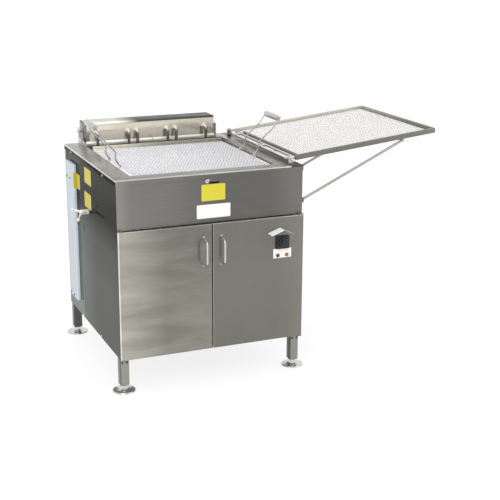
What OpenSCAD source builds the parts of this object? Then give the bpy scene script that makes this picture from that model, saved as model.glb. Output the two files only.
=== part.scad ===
// Electric open-kettle donut fryer with a tilting element head, a frying screen and a hinged drain tray.
// Millimetres. The doors face -Y, +X is towards the drain tray, +Z is up and the feet stand on Z = 0.

/* [Cabinet] */
// Width of the cabinet between the outer faces of the side panels
cab_w = 840; // [820:5:880]
// Depth of the cabinet from the apron to the back panel
cab_d = 830; // [820:5:870]
// Height of the deck above the floor
deck_h = 933; // [900:1:960]
// Height of the lower edge of the panels and doors
skirt_h = 155; // [140:1:170]
// Height of the apron from the top of the doors to the deck
apron_h = 215; // [205:1:230]
// Thickness of the casing sheet
sheet = 2; // [1.5:0.5:2]
// Side of the square legs
leg_side = 40; // [36:1:42]
// Diameter of the foot flanges
foot_d = 100; // [80:1:110]

/* [Kettle] */
// Width of the deck to the left of the kettle opening
kettle_left = 78; // [74:1:82]
// Width of the deck to the right of the kettle opening
kettle_right = 88; // [84:1:92]
// Width of the deck in front of the kettle opening
kettle_front = 59; // [52:1:62]
// Width of the deck behind the kettle opening
kettle_rear = 88; // [84:1:92]
// Depth of the kettle below the deck
kettle_deep = 188; // [180:1:192]
// Diameter of the drain passage
drain_d = 28; // [20:1:32]

/* [Frying screen] */
// Depth of the screen frame's top face below the deck
screen_drop = 14; // [12:1:18]
// Height of the right bail from its eyes to its grip
bail_h = 158; // [150:1:170]
// Distance that the right bail leans out from its eyes to its grip
bail_lean = 122; // [115:1:128]
// Distance between the two legs of a bail
bail_span = 150; // [130:1:160]
// Diameter of the bail wire
bail_d = 6; // [5:0.5:7]
// Diameter of the bail grips
grip_d = 27; // [22:1:30]

/* [Element head] */
// Width of the terminal box
head_w = 634; // [620:1:640]
// Depth of the terminal box from front to back
head_d = 110; // [100:1:116]
// Height of the terminal box
head_h = 95; // [90:1:110]
// Diameter of the heating tubes
tube_d = 14; // [12:0.5:14.5]

/* [Drain tray] */
// Length of the tray from the hinge rod to its outer edge
tray_len = 719; // [660:1:740]
// Width of the tray across its rails
tray_w = 697; // [680:1:700]
// Height of the tray rails
rail_h = 22; // [20:1:26]
// Slope of the tray, falling towards the kettle, in degrees
tray_slope = 6.15; // [5:0.05:8]
// Diameter of the hinge rod
rod_d = 12; // [10:1:13]
// Diameter of the stay rods
stay_d = 12; // [10:0.5:12]

/* [Doors] */
// Thickness of the doors
door_t = 18; // [17:1:18]
// Width of the gap between the doors
door_gap = 3; // [2:0.5:4]
// Distance that the bow handles stand out from the doors
handle_out = 45; // [40:1:48]
// Diameter of the handle rod
handle_d = 9; // [8:0.5:10]

/* [Hidden] */
$fn = 64;

// Small overshoot of a cut beyond the face that it opens
cut = 1;
// Radial running clearance of turning pins
run = 0.05;
// Lap of straight rod lengths into bends, and how much thinner they are
rod_lap = 0.5;
rod_step = 0.1;

// Cabinet
deck_over = 3.5;
deck_skirt = 24;
deck_under = deck_h - sheet;
door_line = deck_h - apron_h;
stile_w = 40;
leg_inset = 8;
leg_foot = 30;
leg_plug = 12;
leg_wall = 2;
leg_xs = [sheet, cab_w - sheet - leg_side];
leg_ys = [leg_inset, cab_d - sheet - leg_side];
foot_t = 8;
foot_stem_d = 16;

// Kettle
kettle_x0 = kettle_left;
kettle_x1 = cab_w - kettle_right;
kettle_y0 = kettle_front;
kettle_y1 = cab_d - kettle_rear;
kettle_z0 = deck_h - kettle_deep;
pipe_wall = 3;

// Drain valve
valve_x = 110;
valve_y = 441;
valve_z = deck_h - 235;
valve_body_d = 52;
valve_body_h = 60;
valve_stem_d = 12;
valve_ball_x = -57;
stem_gland_d = 24;
gland_len = 6;
valve_hub_d = 24;
valve_hub_x = -38;
valve_hub_len = 30;
valve_arm_root = -31;
valve_arm = 50;
valve_arm_d = 8;
valve_ball_d = 16;
valve_arm_angles = [6, 204];

// Frying screen
screen_z = deck_h - screen_drop;
screen_bar = 12;
screen_bar_t = 6;
screen_x0 = kettle_x0 + 20;
screen_x1 = kettle_x1 - 10;
screen_y0 = kettle_y0 + 5;
screen_y1 = kettle_y1 - 44;
mesh_t = 2;
strip_w = 4;
net_gaps = 12;
guard_t = 2;
guard_up = 17;
eye_w = 12;
eye_t = 4;
eye_z = screen_z + 10;
bail_y = (screen_y0 + screen_y1) / 2 - 15;
bail_left_x = screen_x0 + 8;
bail_right_x = screen_x1 - 8;
bail_left_turn = 6.6;
bail_knob_d = bail_d + 3;
bail_pin = 14;
bail_bend = 12;
grip_len = bail_span - 15;
grip_bar_d = bail_d + 2;

// Element head
head_x0 = kettle_x0;
head_x1 = head_x0 + head_w;
head_y0 = kettle_y1 - 7;
head_y1 = head_y0 + head_d;
head_z0 = deck_h + 12;
head_z1 = head_z0 + head_h;
head_bend = 8;
head_lip = 6;
head_pivot_y = head_y1 - 23;
head_pivot_z = head_z0 + 45;
head_pin_d = 12;
head_pin_len = 32;
bracket_t = 6;
bracket_gap = 8;
bracket_w = 62;
bracket_up = 30;
cheek_w = 92;
cheek_up = 69;
tube_z = deck_h + 61;
tube_bend = 15;
riser_y = head_y0 - 23;
element_z = screen_z - screen_bar_t - 1.5 - tube_d / 2;
element_half = 75;
element_step = element_half * 2 / 3;
element_pitch = 192.5;
element_mid_x = head_x0 + 317;
element_front_y = kettle_y0 + 45;
element_back_y = riser_y - 52;
element_turn = 24;
element_lead = 30;
ferrule_d = tube_d + 0.6;
bush_d = 26;
bush_t = 8;
bulb_d = 10;
bulb_len = 180;
bulb_z = element_z - tube_d / 2 - bulb_d / 2 - 1;
capillary_d = 3;

// Drain tray
rod_x = cab_w - 43;
rod_z = deck_h + 19;
rod_y0 = 20;
rod_y1 = 758;
post_w = 22;
post_t = 10;
post_round = 12;
post_top = deck_h + 39;
post_ys = [24, rod_y1 - 16];
tray_x = cab_w - 42;
tray_z = deck_h + 27;
rod_in_x = (rod_x - tray_x) * cos(tray_slope) + (rod_z - tray_z) * sin(tray_slope);
rod_in_w = (rod_z - tray_z) * cos(tray_slope) - (rod_x - tray_x) * sin(tray_slope);
tray_y0 = 20;
tray_y1 = tray_y0 + tray_w;
tray_x0 = 18;
rail_w = 12;
pan_t = 1.5;
end_rail_drop = 12;
hook_w = 36;
hook_r = rod_d / 2 + 4;
hook_ys = [70, tray_y0 + tray_w / 2, tray_y1 - 50];
rib_t = 3;
ribs = 4;
end_bar_w = 12;
end_bar_t = 5;
end_bar_gap = 60;
screen_low = 5;
lug_t = 4;
lug_ys = [62, tray_y0 + tray_w / 2 + 40, tray_y1 - 46];
stay_pivot_x = 552;
stay_pivot_w = -rail_h / 2 - 7;
stay_rod_d = 8;
stay_eye_d = 13;
stay_eye_w = 10;
stay_slope = 24.86;
stay_ys = [28, 360, 700];
stay_top_x = tray_x + stay_pivot_x * cos(tray_slope) - stay_pivot_w * sin(tray_slope);
stay_top_z = tray_z + stay_pivot_x * sin(tray_slope) + stay_pivot_w * cos(tray_slope);
pad_gap = 0.5;
pad_d = 24;
pad_t = 16;
pad_wall = 4;
stay_len = (stay_top_x - cab_w - pad_gap - pad_wall - 2) / cos(stay_slope);

// Doors
door_back = -3;
door_front = door_back - door_t;
door_skin = 1.5;
door_edge = 2;
door_cap = 4;
door_z0 = skirt_h + 1;
door_z1 = door_line - 2;
door_mid = cab_w / 2 - 6;
door_inset = 1;
pivot_in = 6;
pivot_y = door_back - door_t / 2;
pivot_d = 6;
pivot_plate_t = 3;
pivot_plate_w = 20;
handle_from_gap = 40;
handle_root = 8;
handle_z1 = door_line - 58;
handle_span = 124;
handle_rise = 17;
handle_bend = 14;

// Thermostat, hood and lamps on the right door
case_x = cab_w - 102;
case_z = door_line - 114;
case_side = 58;
case_t = 12;
dial_d = 44;
dial_t = 14;
dial_spindle_d = 6;
hood_left = 58;
hood_right = 44;
hood_rise = 20;
hood_out = 44;
hood_t = 1.5;
hood_x = case_x - 11;
hood_z = case_z + case_side / 2 + 14;
lamp_plate_w = 86;
lamp_plate_h = 42;
lamp_plate_z = door_line - 144;
lamp_d = 17;
lamp_pitch = 43;
lamp_drop = 9;

// Plates, screws and covers
plate_t = 0.8;
caution_w = 107;
caution_h = 71;
caution_x = 425;
caution_z = deck_h - 85;
maker_w = 152;
maker_h = 59;
maker_x = 426;
maker_z = deck_h - 166;
vent_ys = [530, 632];
vent_z = deck_h - 331;
side_plate_w = 108;
side_plate_h = 70;
side_plates_at = [
  [602, deck_h - 133, 58], [433, deck_h - 74, side_plate_w], [442, deck_h - 185, side_plate_w]
];
hook_x = 398;
hook_z = deck_h - 36;
hook_base_d = 18;
hook_rod_d = 6;
slot_w = 45;
slot_h = 7;
cover_y0 = 633;
cover_y1 = 760;
cover_z0 = skirt_h + 66;
cover_z1 = deck_h - 60;
cover_t = 16;
screw_d = 10;
screw_t = 3;
deck_screw_ys = [180, 704];
deck_screw_z = deck_h - 16;
base_screw_ys = [287, 586];
base_screw_z = skirt_h + 8;
cover_screw_front = 55;
cover_screw_rear = 13;

// Electrical pieces inside the cabinet
box_x0 = 590;
box_x1 = 790;
box_y0 = cab_d - 182;
box_z0 = 260;
box_z1 = 520;
contactor_w = 55;
contactor_pitch = 63;
gland_x = 460;
gland_z = 300;
gland_d = 30;
gland_bore_d = 22;
gland_flange_d = 42;
gland_in = 22;
gland_out = 12;

// The whole object's box, which sets the origin at the middle of its floor area
x_low = valve_ball_x - valve_ball_d / 2;
x_high = tray_x + tray_len * cos(tray_slope) + rail_h / 2 * sin(tray_slope);
y_low = door_front - handle_out;
y_high = max(head_y1, leg_ys[1] + leg_side / 2 + foot_d / 2);
mid_x = (x_low + x_high) / 2;
mid_y = (y_low + y_high) / 2;

// Moves a piece from the cabinet's front left floor corner to the part's own frame
module placed() {
  translate([-mid_x, -mid_y, 0]) children();
}

// Box between two opposite corners
module block(low, high) {
  translate(low) cube(high - low);
}

// Round bar along X, Y or Z from a start point
module bar_x(p, d, h) {
  translate(p) rotate([0, 90, 0]) cylinder(d = d, h = h);
}
module bar_y(p, d, h) {
  translate(p) rotate([-90, 0, 0]) cylinder(d = d, h = h);
}
module bar_z(p, d, h) {
  translate(p) cylinder(d = d, h = h);
}

// Unit direction, turn angle and tangent length along a flat path of points
function heading(pts, i) = (pts[i + 1] - pts[i]) / norm(pts[i + 1] - pts[i]);
function bearing(v) = atan2(v[1], v[0]);
function turn(a, b) = atan2(a[0] * b[1] - a[1] * b[0], a[0] * b[0] + a[1] * b[1]);
function tangent(pts, i, r) =
  (i == 0 || i == len(pts) - 1) ? 0 : r * tan(abs(turn(heading(pts, i - 1), heading(pts, i))) / 2);

// Round rod that follows points in the XY plane: bends of diameter d and radius r, joined by straight
// lengths that are drawn a little thinner and end just inside the bends
module bent_rod(pts, d, r) {
  last = len(pts) - 1;
  for (i = [0 : last - 1]) {
    h = heading(pts, i);
    before = i == 0 ? 0 : tangent(pts, i, r) - rod_lap;
    after = i == last - 1 ? 0 : tangent(pts, i + 1, r) - rod_lap;
    start = pts[i] + h * before;
    span = norm(pts[i + 1] - pts[i]) - before - after;
    translate([start[0], start[1], 0]) rotate([0, 0, bearing(h)]) bar_x([0, 0, 0], d - rod_step, span);
  }
  for (i = [1 : len(pts) - 2]) {
    h = heading(pts, i - 1);
    angle = turn(h, heading(pts, i));
    side = sign(angle);
    start = pts[i] - h * tangent(pts, i, r);
    centre = start + side * r * [-h[1], h[0]];
    from = side > 0 ? bearing(h) - 90 : bearing(h) + 90 + angle;
    translate([centre[0], centre[1], 0]) rotate([0, 0, from])
      rotate_extrude(angle = abs(angle)) translate([r, 0]) circle(d = d);
  }
}

// Turns a shape drawn in XY so that its X runs along Y and its Y along Z
module upright_yz() {
  rotate([90, 0, 90]) children();
}

// Turns a shape drawn in XY so that its X stays and its Y runs along Z
module upright_xz() {
  rotate([90, 0, 0]) children();
}

// Square leg with a bored plug for its foot
module leg(x, y) {
  color([0.60, 0.60, 0.58]) placed() difference() {
    block([x, y, leg_foot], [x + leg_side, y + leg_side, deck_under]);
    block(
      [x + leg_wall, y + leg_wall, leg_foot + leg_plug],
      [x + leg_side - leg_wall, y + leg_side - leg_wall, deck_under + cut]
    );
    bar_z([x + leg_side / 2, y + leg_side / 2, leg_foot - cut], foot_stem_d, leg_plug + 2 * cut);
  }
}
module leg_front_left() {
  leg(leg_xs[0], leg_ys[0]);
}
module leg_front_right() {
  leg(leg_xs[1], leg_ys[0]);
}
module leg_rear_left() {
  leg(leg_xs[0], leg_ys[1]);
}
module leg_rear_right() {
  leg(leg_xs[1], leg_ys[1]);
}

module levelling_feet() {
  color([0.78, 0.78, 0.78]) placed()
    for (x = leg_xs, y = leg_ys)
      translate([x + leg_side / 2, y + leg_side / 2, 0]) union() {
        cylinder(d = foot_d, h = foot_t);
        translate([0, 0, foot_t]) cylinder(d1 = 44, d2 = 30, h = leg_foot - foot_t - 2);
        translate([0, 0, leg_foot - 2]) cylinder(d = foot_stem_d, h = leg_plug + 20);
      }
}

// Side panel with a stile folded behind the door edge
module side_panel(outer, side) {
  inner = outer + side * sheet;
  stile = outer + side * stile_w;
  block([min(outer, inner), 0, skirt_h], [max(outer, inner), cab_d - sheet, deck_under]);
  block([min(outer, stile), 0, skirt_h], [max(outer, stile), sheet, door_line]);
}
module left_panel() {
  color([0.42, 0.43, 0.42]) placed() difference() {
    side_panel(0, 1);
    bar_x([-cut, valve_y, valve_z], valve_stem_d + 4, sheet + 2 * cut);
    for (y = vent_ys)
      block([-cut, y - 5, vent_z - 14], [sheet + cut, y + 5, vent_z + 14]);
  }
}
module right_panel() {
  color([0.45, 0.45, 0.44]) placed() side_panel(cab_w, -1);
}
module back_panel() {
  color([0.45, 0.45, 0.44]) placed() difference() {
    block([0, cab_d - sheet, skirt_h], [cab_w, cab_d, deck_under]);
    bar_y([gland_x, cab_d - sheet - cut, gland_z], gland_d, sheet + 2 * cut);
  }
}
module front_apron() {
  color([0.48, 0.48, 0.47]) placed() difference() {
    block([sheet, 0, door_line], [cab_w - sheet, sheet, deck_under]);
    block(
      [hook_x + 8, -cut, hook_z - 11],
      [hook_x + 8 + slot_w, sheet + cut, hook_z - 11 + slot_h]
    );
  }
}
module top_deck() {
  color([0.62, 0.62, 0.60]) placed() {
    lip = deck_over - sheet;
    difference() {
      block(
        [-deck_over, -deck_over, deck_h - deck_skirt],
        [cab_w + deck_over, cab_d + deck_over, deck_h]
      );
      block(
        [-lip, -lip, deck_h - deck_skirt - cut],
        [cab_w + lip, cab_d + lip, deck_under]
      );
      block([kettle_x0, kettle_y0, deck_under - cut], [kettle_x1, kettle_y1, deck_h + cut]);
    }
  }
}
module cabinet_floor() {
  color([0.50, 0.50, 0.49]) placed() difference() {
    block([sheet, sheet, skirt_h + 2], [cab_w - sheet, cab_d - sheet, skirt_h + 2 + sheet]);
    for (x = leg_xs, y = leg_ys)
      block([x - cut, y - cut, skirt_h], [x + leg_side + cut, y + leg_side + cut, skirt_h + 10]);
  }
}
module kettle() {
  color([0.66, 0.65, 0.60]) placed() difference() {
    block(
      [kettle_x0 - sheet, kettle_y0 - sheet, kettle_z0],
      [kettle_x1 + sheet, kettle_y1 + sheet, deck_under]
    );
    block([kettle_x0, kettle_y0, kettle_z0 - cut], [kettle_x1, kettle_y1, deck_under + cut]);
  }
}
module kettle_floor() {
  color([0.66, 0.65, 0.60]) placed() difference() {
    block(
      [kettle_x0 - sheet, kettle_y0 - sheet, kettle_z0 - sheet],
      [kettle_x1 + sheet, kettle_y1 + sheet, kettle_z0]
    );
    bar_z([valve_x, valve_y, kettle_z0 - sheet - cut], drain_d, sheet + 2 * cut);
  }
}

// Pipe lengths above and below the drain valve
module drain_pipe() {
  top = kettle_z0 - sheet;
  valve_top = valve_z + valve_body_h / 2;
  valve_low = valve_z - valve_body_h / 2;
  spout = 28;
  color([0.55, 0.55, 0.54]) placed() difference() {
    union() {
      bar_z([valve_x, valve_y, valve_top], drain_d + 2 * pipe_wall, top - valve_top);
      bar_z([valve_x, valve_y, valve_low - spout], drain_d + 2 * pipe_wall, spout);
    }
    bar_z([valve_x, valve_y, valve_low - spout - cut], drain_d, top - valve_low + spout + 2 * cut);
  }
}
module drain_valve() {
  boss_x = valve_x - valve_body_d / 2 - 14;
  color([0.70, 0.60, 0.35]) placed() difference() {
    union() {
      bar_z([valve_x, valve_y, valve_z - valve_body_h / 2], valve_body_d, valve_body_h);
      bar_x([boss_x, valve_y, valve_z], 26, 20);
    }
    bar_z([valve_x, valve_y, valve_z - valve_body_h / 2 - cut], drain_d, valve_body_h + 2 * cut);
    bar_x([boss_x - cut, valve_y, valve_z], valve_stem_d + 2 * run, 24);
  }
}
module stem_gland() {
  color([0.80, 0.80, 0.79]) placed() difference() {
    bar_x([-gland_len, valve_y, valve_z], stem_gland_d, gland_len);
    bar_x([-gland_len - cut, valve_y, valve_z], valve_stem_d + 2 * run, gland_len + 2 * cut);
  }
}
module valve_handle() {
  stem_end = valve_x - valve_body_d / 2 + 4;
  reach = valve_arm_root - valve_ball_x;
  lean = atan2(reach, valve_arm);
  color([0.80, 0.80, 0.79]) placed() {
    bar_x([valve_hub_x, valve_y, valve_z], valve_stem_d, stem_end - valve_hub_x);
    bar_x([valve_hub_x, valve_y, valve_z], valve_hub_d, valve_hub_len);
    for (a = valve_arm_angles)
      translate([valve_arm_root, valve_y, valve_z]) rotate([a, 0, 0]) {
        rotate([0, 0, lean]) bar_y([0, 0, 0], valve_arm_d, norm([reach, valve_arm]));
        translate([-reach, valve_arm, 0]) sphere(d = valve_ball_d);
      }
  }
}
module wire_cover() {
  color([0.80, 0.84, 0.90]) placed() difference() {
    block([-cover_t, cover_y0, cover_z0], [0, cover_y1, cover_z1]);
    block(
      [-cover_t + sheet, cover_y0 + sheet, cover_z0 + sheet],
      [cut, cover_y1 - sheet, cover_z1 - sheet]
    );
  }
}

// Screw head standing on a face, pointing along -X, +X or +Y
module screw_left(p) {
  translate(p) rotate([0, -90, 0]) cylinder(d1 = screw_d, d2 = screw_d - 3, h = screw_t);
}
module screw_right(p) {
  translate(p) rotate([0, 90, 0]) cylinder(d1 = screw_d, d2 = screw_d - 3, h = screw_t);
}
module screw_back(p) {
  translate(p) rotate([-90, 0, 0]) cylinder(d1 = screw_d, d2 = screw_d - 3, h = screw_t);
}
module casing_screws() {
  color([0.80, 0.80, 0.78]) placed() {
    for (y = deck_screw_ys) {
      screw_left([-deck_over, y, deck_screw_z]);
      screw_right([cab_w + deck_over, y, deck_screw_z]);
    }
    for (y = base_screw_ys) {
      screw_left([0, y, base_screw_z]);
      screw_right([cab_w, y, base_screw_z]);
    }
    for (y = [cover_y0 + cover_screw_front, cover_y1 - cover_screw_rear], z = [cover_z0 + 12, cover_z1 - 72])
      screw_left([-cover_t, y, z]);
    for (x = [60, cab_w / 2, cab_w - 60], z = [skirt_h + 20, deck_h - 60])
      screw_back([x, cab_d, z]);
  }
}

// Blank plate on the apron, centred on a point
module front_plate(x, z, w, h) {
  block([x - w / 2, -plate_t, z - h / 2], [x + w / 2, 0, z + h / 2]);
}
module caution_plate() {
  color([0.92, 0.88, 0.20]) placed() front_plate(caution_x, caution_z, caution_w, caution_h);
}
module maker_plate() {
  color([0.95, 0.95, 0.95]) placed() front_plate(maker_x, maker_z, maker_w, maker_h);
}
module side_plates() {
  color([0.92, 0.88, 0.20]) placed()
    for (p = side_plates_at)
      block(
        [-plate_t, p[0] - p[2] / 2, p[1] - side_plate_h / 2],
        [0, p[0] + p[2] / 2, p[1] + side_plate_h / 2]
      );
}
module apron_hook() {
  color([0.85, 0.85, 0.85]) placed() translate([hook_x, 0, hook_z]) {
    bar_y([0, -2, 0], hook_base_d, 2);
    upright_yz() bent_rod([[-2, 0], [-16, 0], [-16, 14]], hook_rod_d, 6);
  }
}

// Rod that carries the drain tray, and its posts on the deck
module hinge_rod() {
  color([0.70, 0.70, 0.69]) placed() bar_y([rod_x, rod_y0, rod_z], rod_d, rod_y1 - rod_y0);
}
module rod_posts() {
  color([0.72, 0.72, 0.70]) placed()
    for (y = post_ys)
      difference() {
        union() {
          block([rod_x - post_w / 2, y, deck_h], [rod_x + post_w / 2, y + post_t, post_top - post_round]);
          bar_y([rod_x, y, post_top - post_round], 2 * post_round, post_t);
        }
        bar_y([rod_x, y - cut, rod_z], rod_d, post_t + 2 * cut);
      }
}
// Pivot bracket of the head: the right one is a taller cheek that reaches to the front of the head
module head_bracket(x, w, up) {
  difference() {
    union() {
      block([x, cab_d - w, deck_h], [x + bracket_t, cab_d, deck_h + up]);
      block([x, head_pivot_y - 18, deck_h + bracket_up], [x + bracket_t, head_pivot_y + 8, head_pivot_z]);
      bar_x([x, head_pivot_y, head_pivot_z], 36, bracket_t);
    }
    bar_x([x - cut, head_pivot_y, head_pivot_z], head_pin_d + 2 * run, bracket_t + 2 * cut);
  }
}
module head_brackets() {
  color([0.75, 0.74, 0.70]) placed()
    for (side = [
      [head_x0 - bracket_gap - bracket_t, bracket_w, bracket_up], [head_x1 + bracket_gap, cheek_w, cheek_up]
    ])
      head_bracket(side[0], side[1], side[2]);
}

module control_box() {
  color([0.55, 0.56, 0.57]) placed() difference() {
    block([box_x0, box_y0, box_z0], [box_x1, cab_d - sheet, box_z1]);
    block(
      [box_x0 + sheet, box_y0 - cut, box_z0 + sheet],
      [box_x1 - sheet, cab_d - 2 * sheet, box_z1 - sheet]
    );
  }
}
module contactors() {
  x0 = (box_x0 + box_x1) / 2 - contactor_pitch - contactor_w / 2;
  y1 = cab_d - 2 * sheet;
  z0 = (box_z0 + box_z1) / 2 - 40;
  color([0.15, 0.15, 0.16]) placed()
    for (i = [0 : 2])
      translate([x0 + i * contactor_pitch, y1, z0]) {
        block([0, -60, 0], [contactor_w, 0, 80]);
        block([8, -90, 20], [contactor_w - 8, -60, 60]);
      }
}
module cable_gland() {
  y0 = cab_d - sheet - gland_in;
  color([0.12, 0.12, 0.13]) placed() difference() {
    union() {
      bar_y([gland_x, y0, gland_z], gland_d, gland_in + sheet + gland_out);
      bar_y([gland_x, cab_d, gland_z], gland_flange_d, 6);
    }
    bar_y([gland_x, y0 - cut, gland_z], gland_bore_d, gland_in + sheet + gland_out + 2 * cut);
  }
}

// Pivot plates above and below the outer corner of each door, each with its pin
module door_pivots() {
  color([0.70, 0.70, 0.69]) placed()
    for (side = [0, 1]) {
      x = side == 0 ? door_inset + pivot_in : cab_w - door_inset - pivot_in;
      x0 = side == 0 ? door_inset : cab_w - door_inset - pivot_plate_w;
      top = door_z1 + 0.5;
      low = door_z0 - 1;
      union() {
        block([x0, door_front, top], [x0 + pivot_plate_w, 0, top + pivot_plate_t]);
        bar_z([x, pivot_y, top - 8], pivot_d, 8);
      }
      union() {
        block([x0, door_front, low - pivot_plate_t], [x0 + pivot_plate_w, sheet, low]);
        bar_z([x, pivot_y, low], pivot_d, 8);
      }
    }
}

// Door pan, open at the back, bored at the top and bottom for its pivot pins
module door_pan(x0, x1, pivot_x) {
  difference() {
    block([x0, door_front, door_z0], [x1, door_back, door_z1]);
    block(
      [x0 + door_edge, door_front + door_skin, door_z0 + door_cap],
      [x1 - door_edge, door_back + cut, door_z1 - door_cap]
    );
    bar_z([pivot_x, pivot_y, door_z0 - cut], pivot_d + 2 * run, door_z1 - door_z0 + 2 * cut);
  }
}
module left_door_panel() {
  color([0.58, 0.57, 0.53]) placed()
    door_pan(door_inset, door_mid - door_gap / 2, door_inset + pivot_in);
}
module right_door_panel() {
  color([0.52, 0.52, 0.48]) placed()
    door_pan(door_mid + door_gap / 2, cab_w - door_inset, cab_w - door_inset - pivot_in);
}

// Bow handle with sloping legs
module bow_handle(x) {
  out = handle_out - handle_d / 2;
  lift = handle_rise * handle_root / out;
  translate([x, door_front, handle_z1]) upright_yz()
    bent_rod(
      [
        [handle_root, lift], [-out, -handle_rise],
        [-out, handle_rise - handle_span], [handle_root, -handle_span - lift]
      ],
      handle_d, handle_bend
    );
}
module left_door_handle() {
  color([0.80, 0.79, 0.76]) placed() difference() {
    bow_handle(door_mid - handle_from_gap);
    block(
      [door_mid - 100, door_front, handle_z1 - handle_span - 50],
      [door_mid, door_front + 30, handle_z1 + 50]
    );
  }
}
module right_door_handle() {
  color([0.80, 0.79, 0.76]) placed() difference() {
    bow_handle(door_mid + handle_from_gap);
    block(
      [door_mid, door_front, handle_z1 - handle_span - 50],
      [door_mid + 100, door_front + 30, handle_z1 + 50]
    );
  }
}

// Gable hood over the thermostat
module controller_hood() {
  color([0.70, 0.69, 0.66]) placed() translate([hood_x, door_front, hood_z]) upright_xz()
    linear_extrude(height = hood_out)
      polygon([
        [-hood_left, 0], [0, hood_rise], [hood_right, 0],
        [hood_right, hood_t], [0, hood_rise + hood_t], [-hood_left, hood_t]
      ]);
}
module controller_case() {
  half = case_side / 2;
  color([0.13, 0.15, 0.16]) placed() difference() {
    block(
      [case_x - half, door_front - case_t, case_z - half],
      [case_x + half, door_front, case_z + half]
    );
    bar_y([case_x, door_front - case_t - cut, case_z], dial_spindle_d + 2 * run, case_t - 2 + cut);
  }
}
module control_dial() {
  face = door_front - case_t - 0.5;
  color([0.10, 0.11, 0.12]) placed() {
    bar_y([case_x, face - 5, case_z], dial_d, 5);
    bar_y([case_x, face - dial_t, case_z], dial_d - 14, dial_t - 5);
    bar_y([case_x, face, case_z], dial_spindle_d, case_t - 3);
  }
}
module indicator_plate() {
  color([0.92, 0.92, 0.92]) placed()
    block(
      [case_x - lamp_plate_w / 2, door_front - 1.5, lamp_plate_z - lamp_plate_h],
      [case_x + lamp_plate_w / 2, door_front, lamp_plate_z]
    );
}

// Domed lamp on the indicator plate, to the left or right of its middle
module lamp(side) {
  x = case_x + side * lamp_pitch / 2;
  z = lamp_plate_z - lamp_plate_h / 2 - lamp_drop;
  translate([x, door_front - 1.5, z]) rotate([90, 0, 0]) {
    cylinder(d = lamp_d, h = 3);
    translate([0, 0, 3]) cylinder(d1 = lamp_d - 3, d2 = lamp_d - 8, h = 5);
  }
}
module red_lamp() {
  color([0.55, 0.10, 0.08]) placed() lamp(-1);
}
module amber_lamp() {
  color([0.85, 0.45, 0.10]) placed() lamp(1);
}

// Element head: the box holds the front, floor and ends, the cover the top and back
element_xs = [for (i = [-1 : 1]) element_mid_x + i * element_pitch];
module head_end(x) {
  block([x, head_y0, head_z0], [x + sheet, head_y1 - sheet, head_z1 - head_bend]);
}
module head_box() {
  color([0.66, 0.64, 0.58]) placed() difference() {
    union() {
      block([head_x0, head_y0, head_z0], [head_x1, head_y0 + sheet, head_z1 - head_bend]);
      block([head_x0, head_y0 - head_lip, head_z0], [head_x1, head_y1 - sheet, head_z0 + sheet]);
      head_end(head_x0);
      head_end(head_x1 - sheet);
    }
    for (x = element_xs, side = [-1, 1])
      bar_y([x + side * element_half, head_y0 - cut, tube_z], tube_d, sheet + 2 * cut);
    bar_y([element_mid_x, head_y0 - cut, tube_z - 30], capillary_d, sheet + 2 * cut);
    for (x = [head_x0 - cut, head_x1 - sheet - cut])
      bar_x([x, head_pivot_y, head_pivot_z], head_pin_d, sheet + 2 * cut);
  }
}
module head_cap(inset) {
  translate([head_y0 + head_bend, head_z1 - head_bend]) {
    intersection() {
      circle(r = head_bend - inset);
      translate([-head_bend, 0]) square(head_bend);
    }
    square([head_d - head_bend - inset, head_bend - inset]);
  }
}
module head_cover() {
  color([0.66, 0.65, 0.60]) placed() {
    difference() {
      translate([head_x0, 0, 0]) upright_yz() linear_extrude(height = head_w) head_cap(0);
      translate([head_x0 + sheet, 0, -0.01]) upright_yz()
        linear_extrude(height = head_w - 2 * sheet) head_cap(sheet);
    }
    block([head_x0, head_y1 - sheet, head_z0], [head_x1, head_y1, head_z1 - head_bend]);
  }
}

// One heating element: two risers out of the box joined by a four-run loop under the screen
module element(x) {
  lead_y = riser_y - element_lead;
  color([0.35, 0.34, 0.33]) placed() {
    for (side = [-1, 1])
      translate([x + side * element_half, 0, 0]) upright_yz()
        bent_rod(
          [[head_y0 + 8, tube_z], [riser_y, tube_z], [riser_y, element_z], [lead_y, element_z]],
          tube_d, tube_bend
        );
    translate([x, 0, element_z])
      bent_rod(
        [
          [-element_half, lead_y], [-element_half, element_front_y],
          [-element_step / 2, element_front_y], [-element_step / 2, element_back_y],
          [element_step / 2, element_back_y], [element_step / 2, element_front_y],
          [element_half, element_front_y], [element_half, lead_y]
        ],
        tube_d, element_turn
      );
    for (side = [-1, 1])
      bar_y([x + side * element_half, lead_y - 4, element_z - 0.4], ferrule_d, 8);
  }
}
module element_left() {
  element(element_xs[0]);
}
module element_middle() {
  element(element_xs[1]);
}
module element_right() {
  element(element_xs[2]);
}
module element_bushes() {
  color([0.75, 0.73, 0.66]) placed()
    for (x = element_xs, side = [-1, 1])
      difference() {
        bar_y([x + side * element_half, head_y0 - bush_t, tube_z], bush_d, bush_t);
        bar_y([x + side * element_half, head_y0 - bush_t - cut, tube_z], tube_d, bush_t + 2 * cut);
      }
}
module head_pins() {
  color([0.78, 0.78, 0.77]) placed()
    for (x = [head_x0 - bracket_gap - bracket_t - 4, head_x1 + bracket_gap + bracket_t + 4 - head_pin_len])
      bar_x([x, head_pivot_y, head_pivot_z], head_pin_d, head_pin_len);
}
module thermostat_bulb() {
  bulb_y1 = element_back_y - 60;
  color([0.72, 0.55, 0.40]) placed() translate([element_mid_x, 0, 0]) {
    bar_y([0, bulb_y1 - bulb_len, bulb_z], bulb_d, bulb_len);
    upright_yz()
      bent_rod(
        [[head_y0 + 8, tube_z - 30], [riser_y, tube_z - 30], [riser_y, bulb_z], [bulb_y1, bulb_z]],
        capillary_d, tube_bend
      );
  }
}

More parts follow.
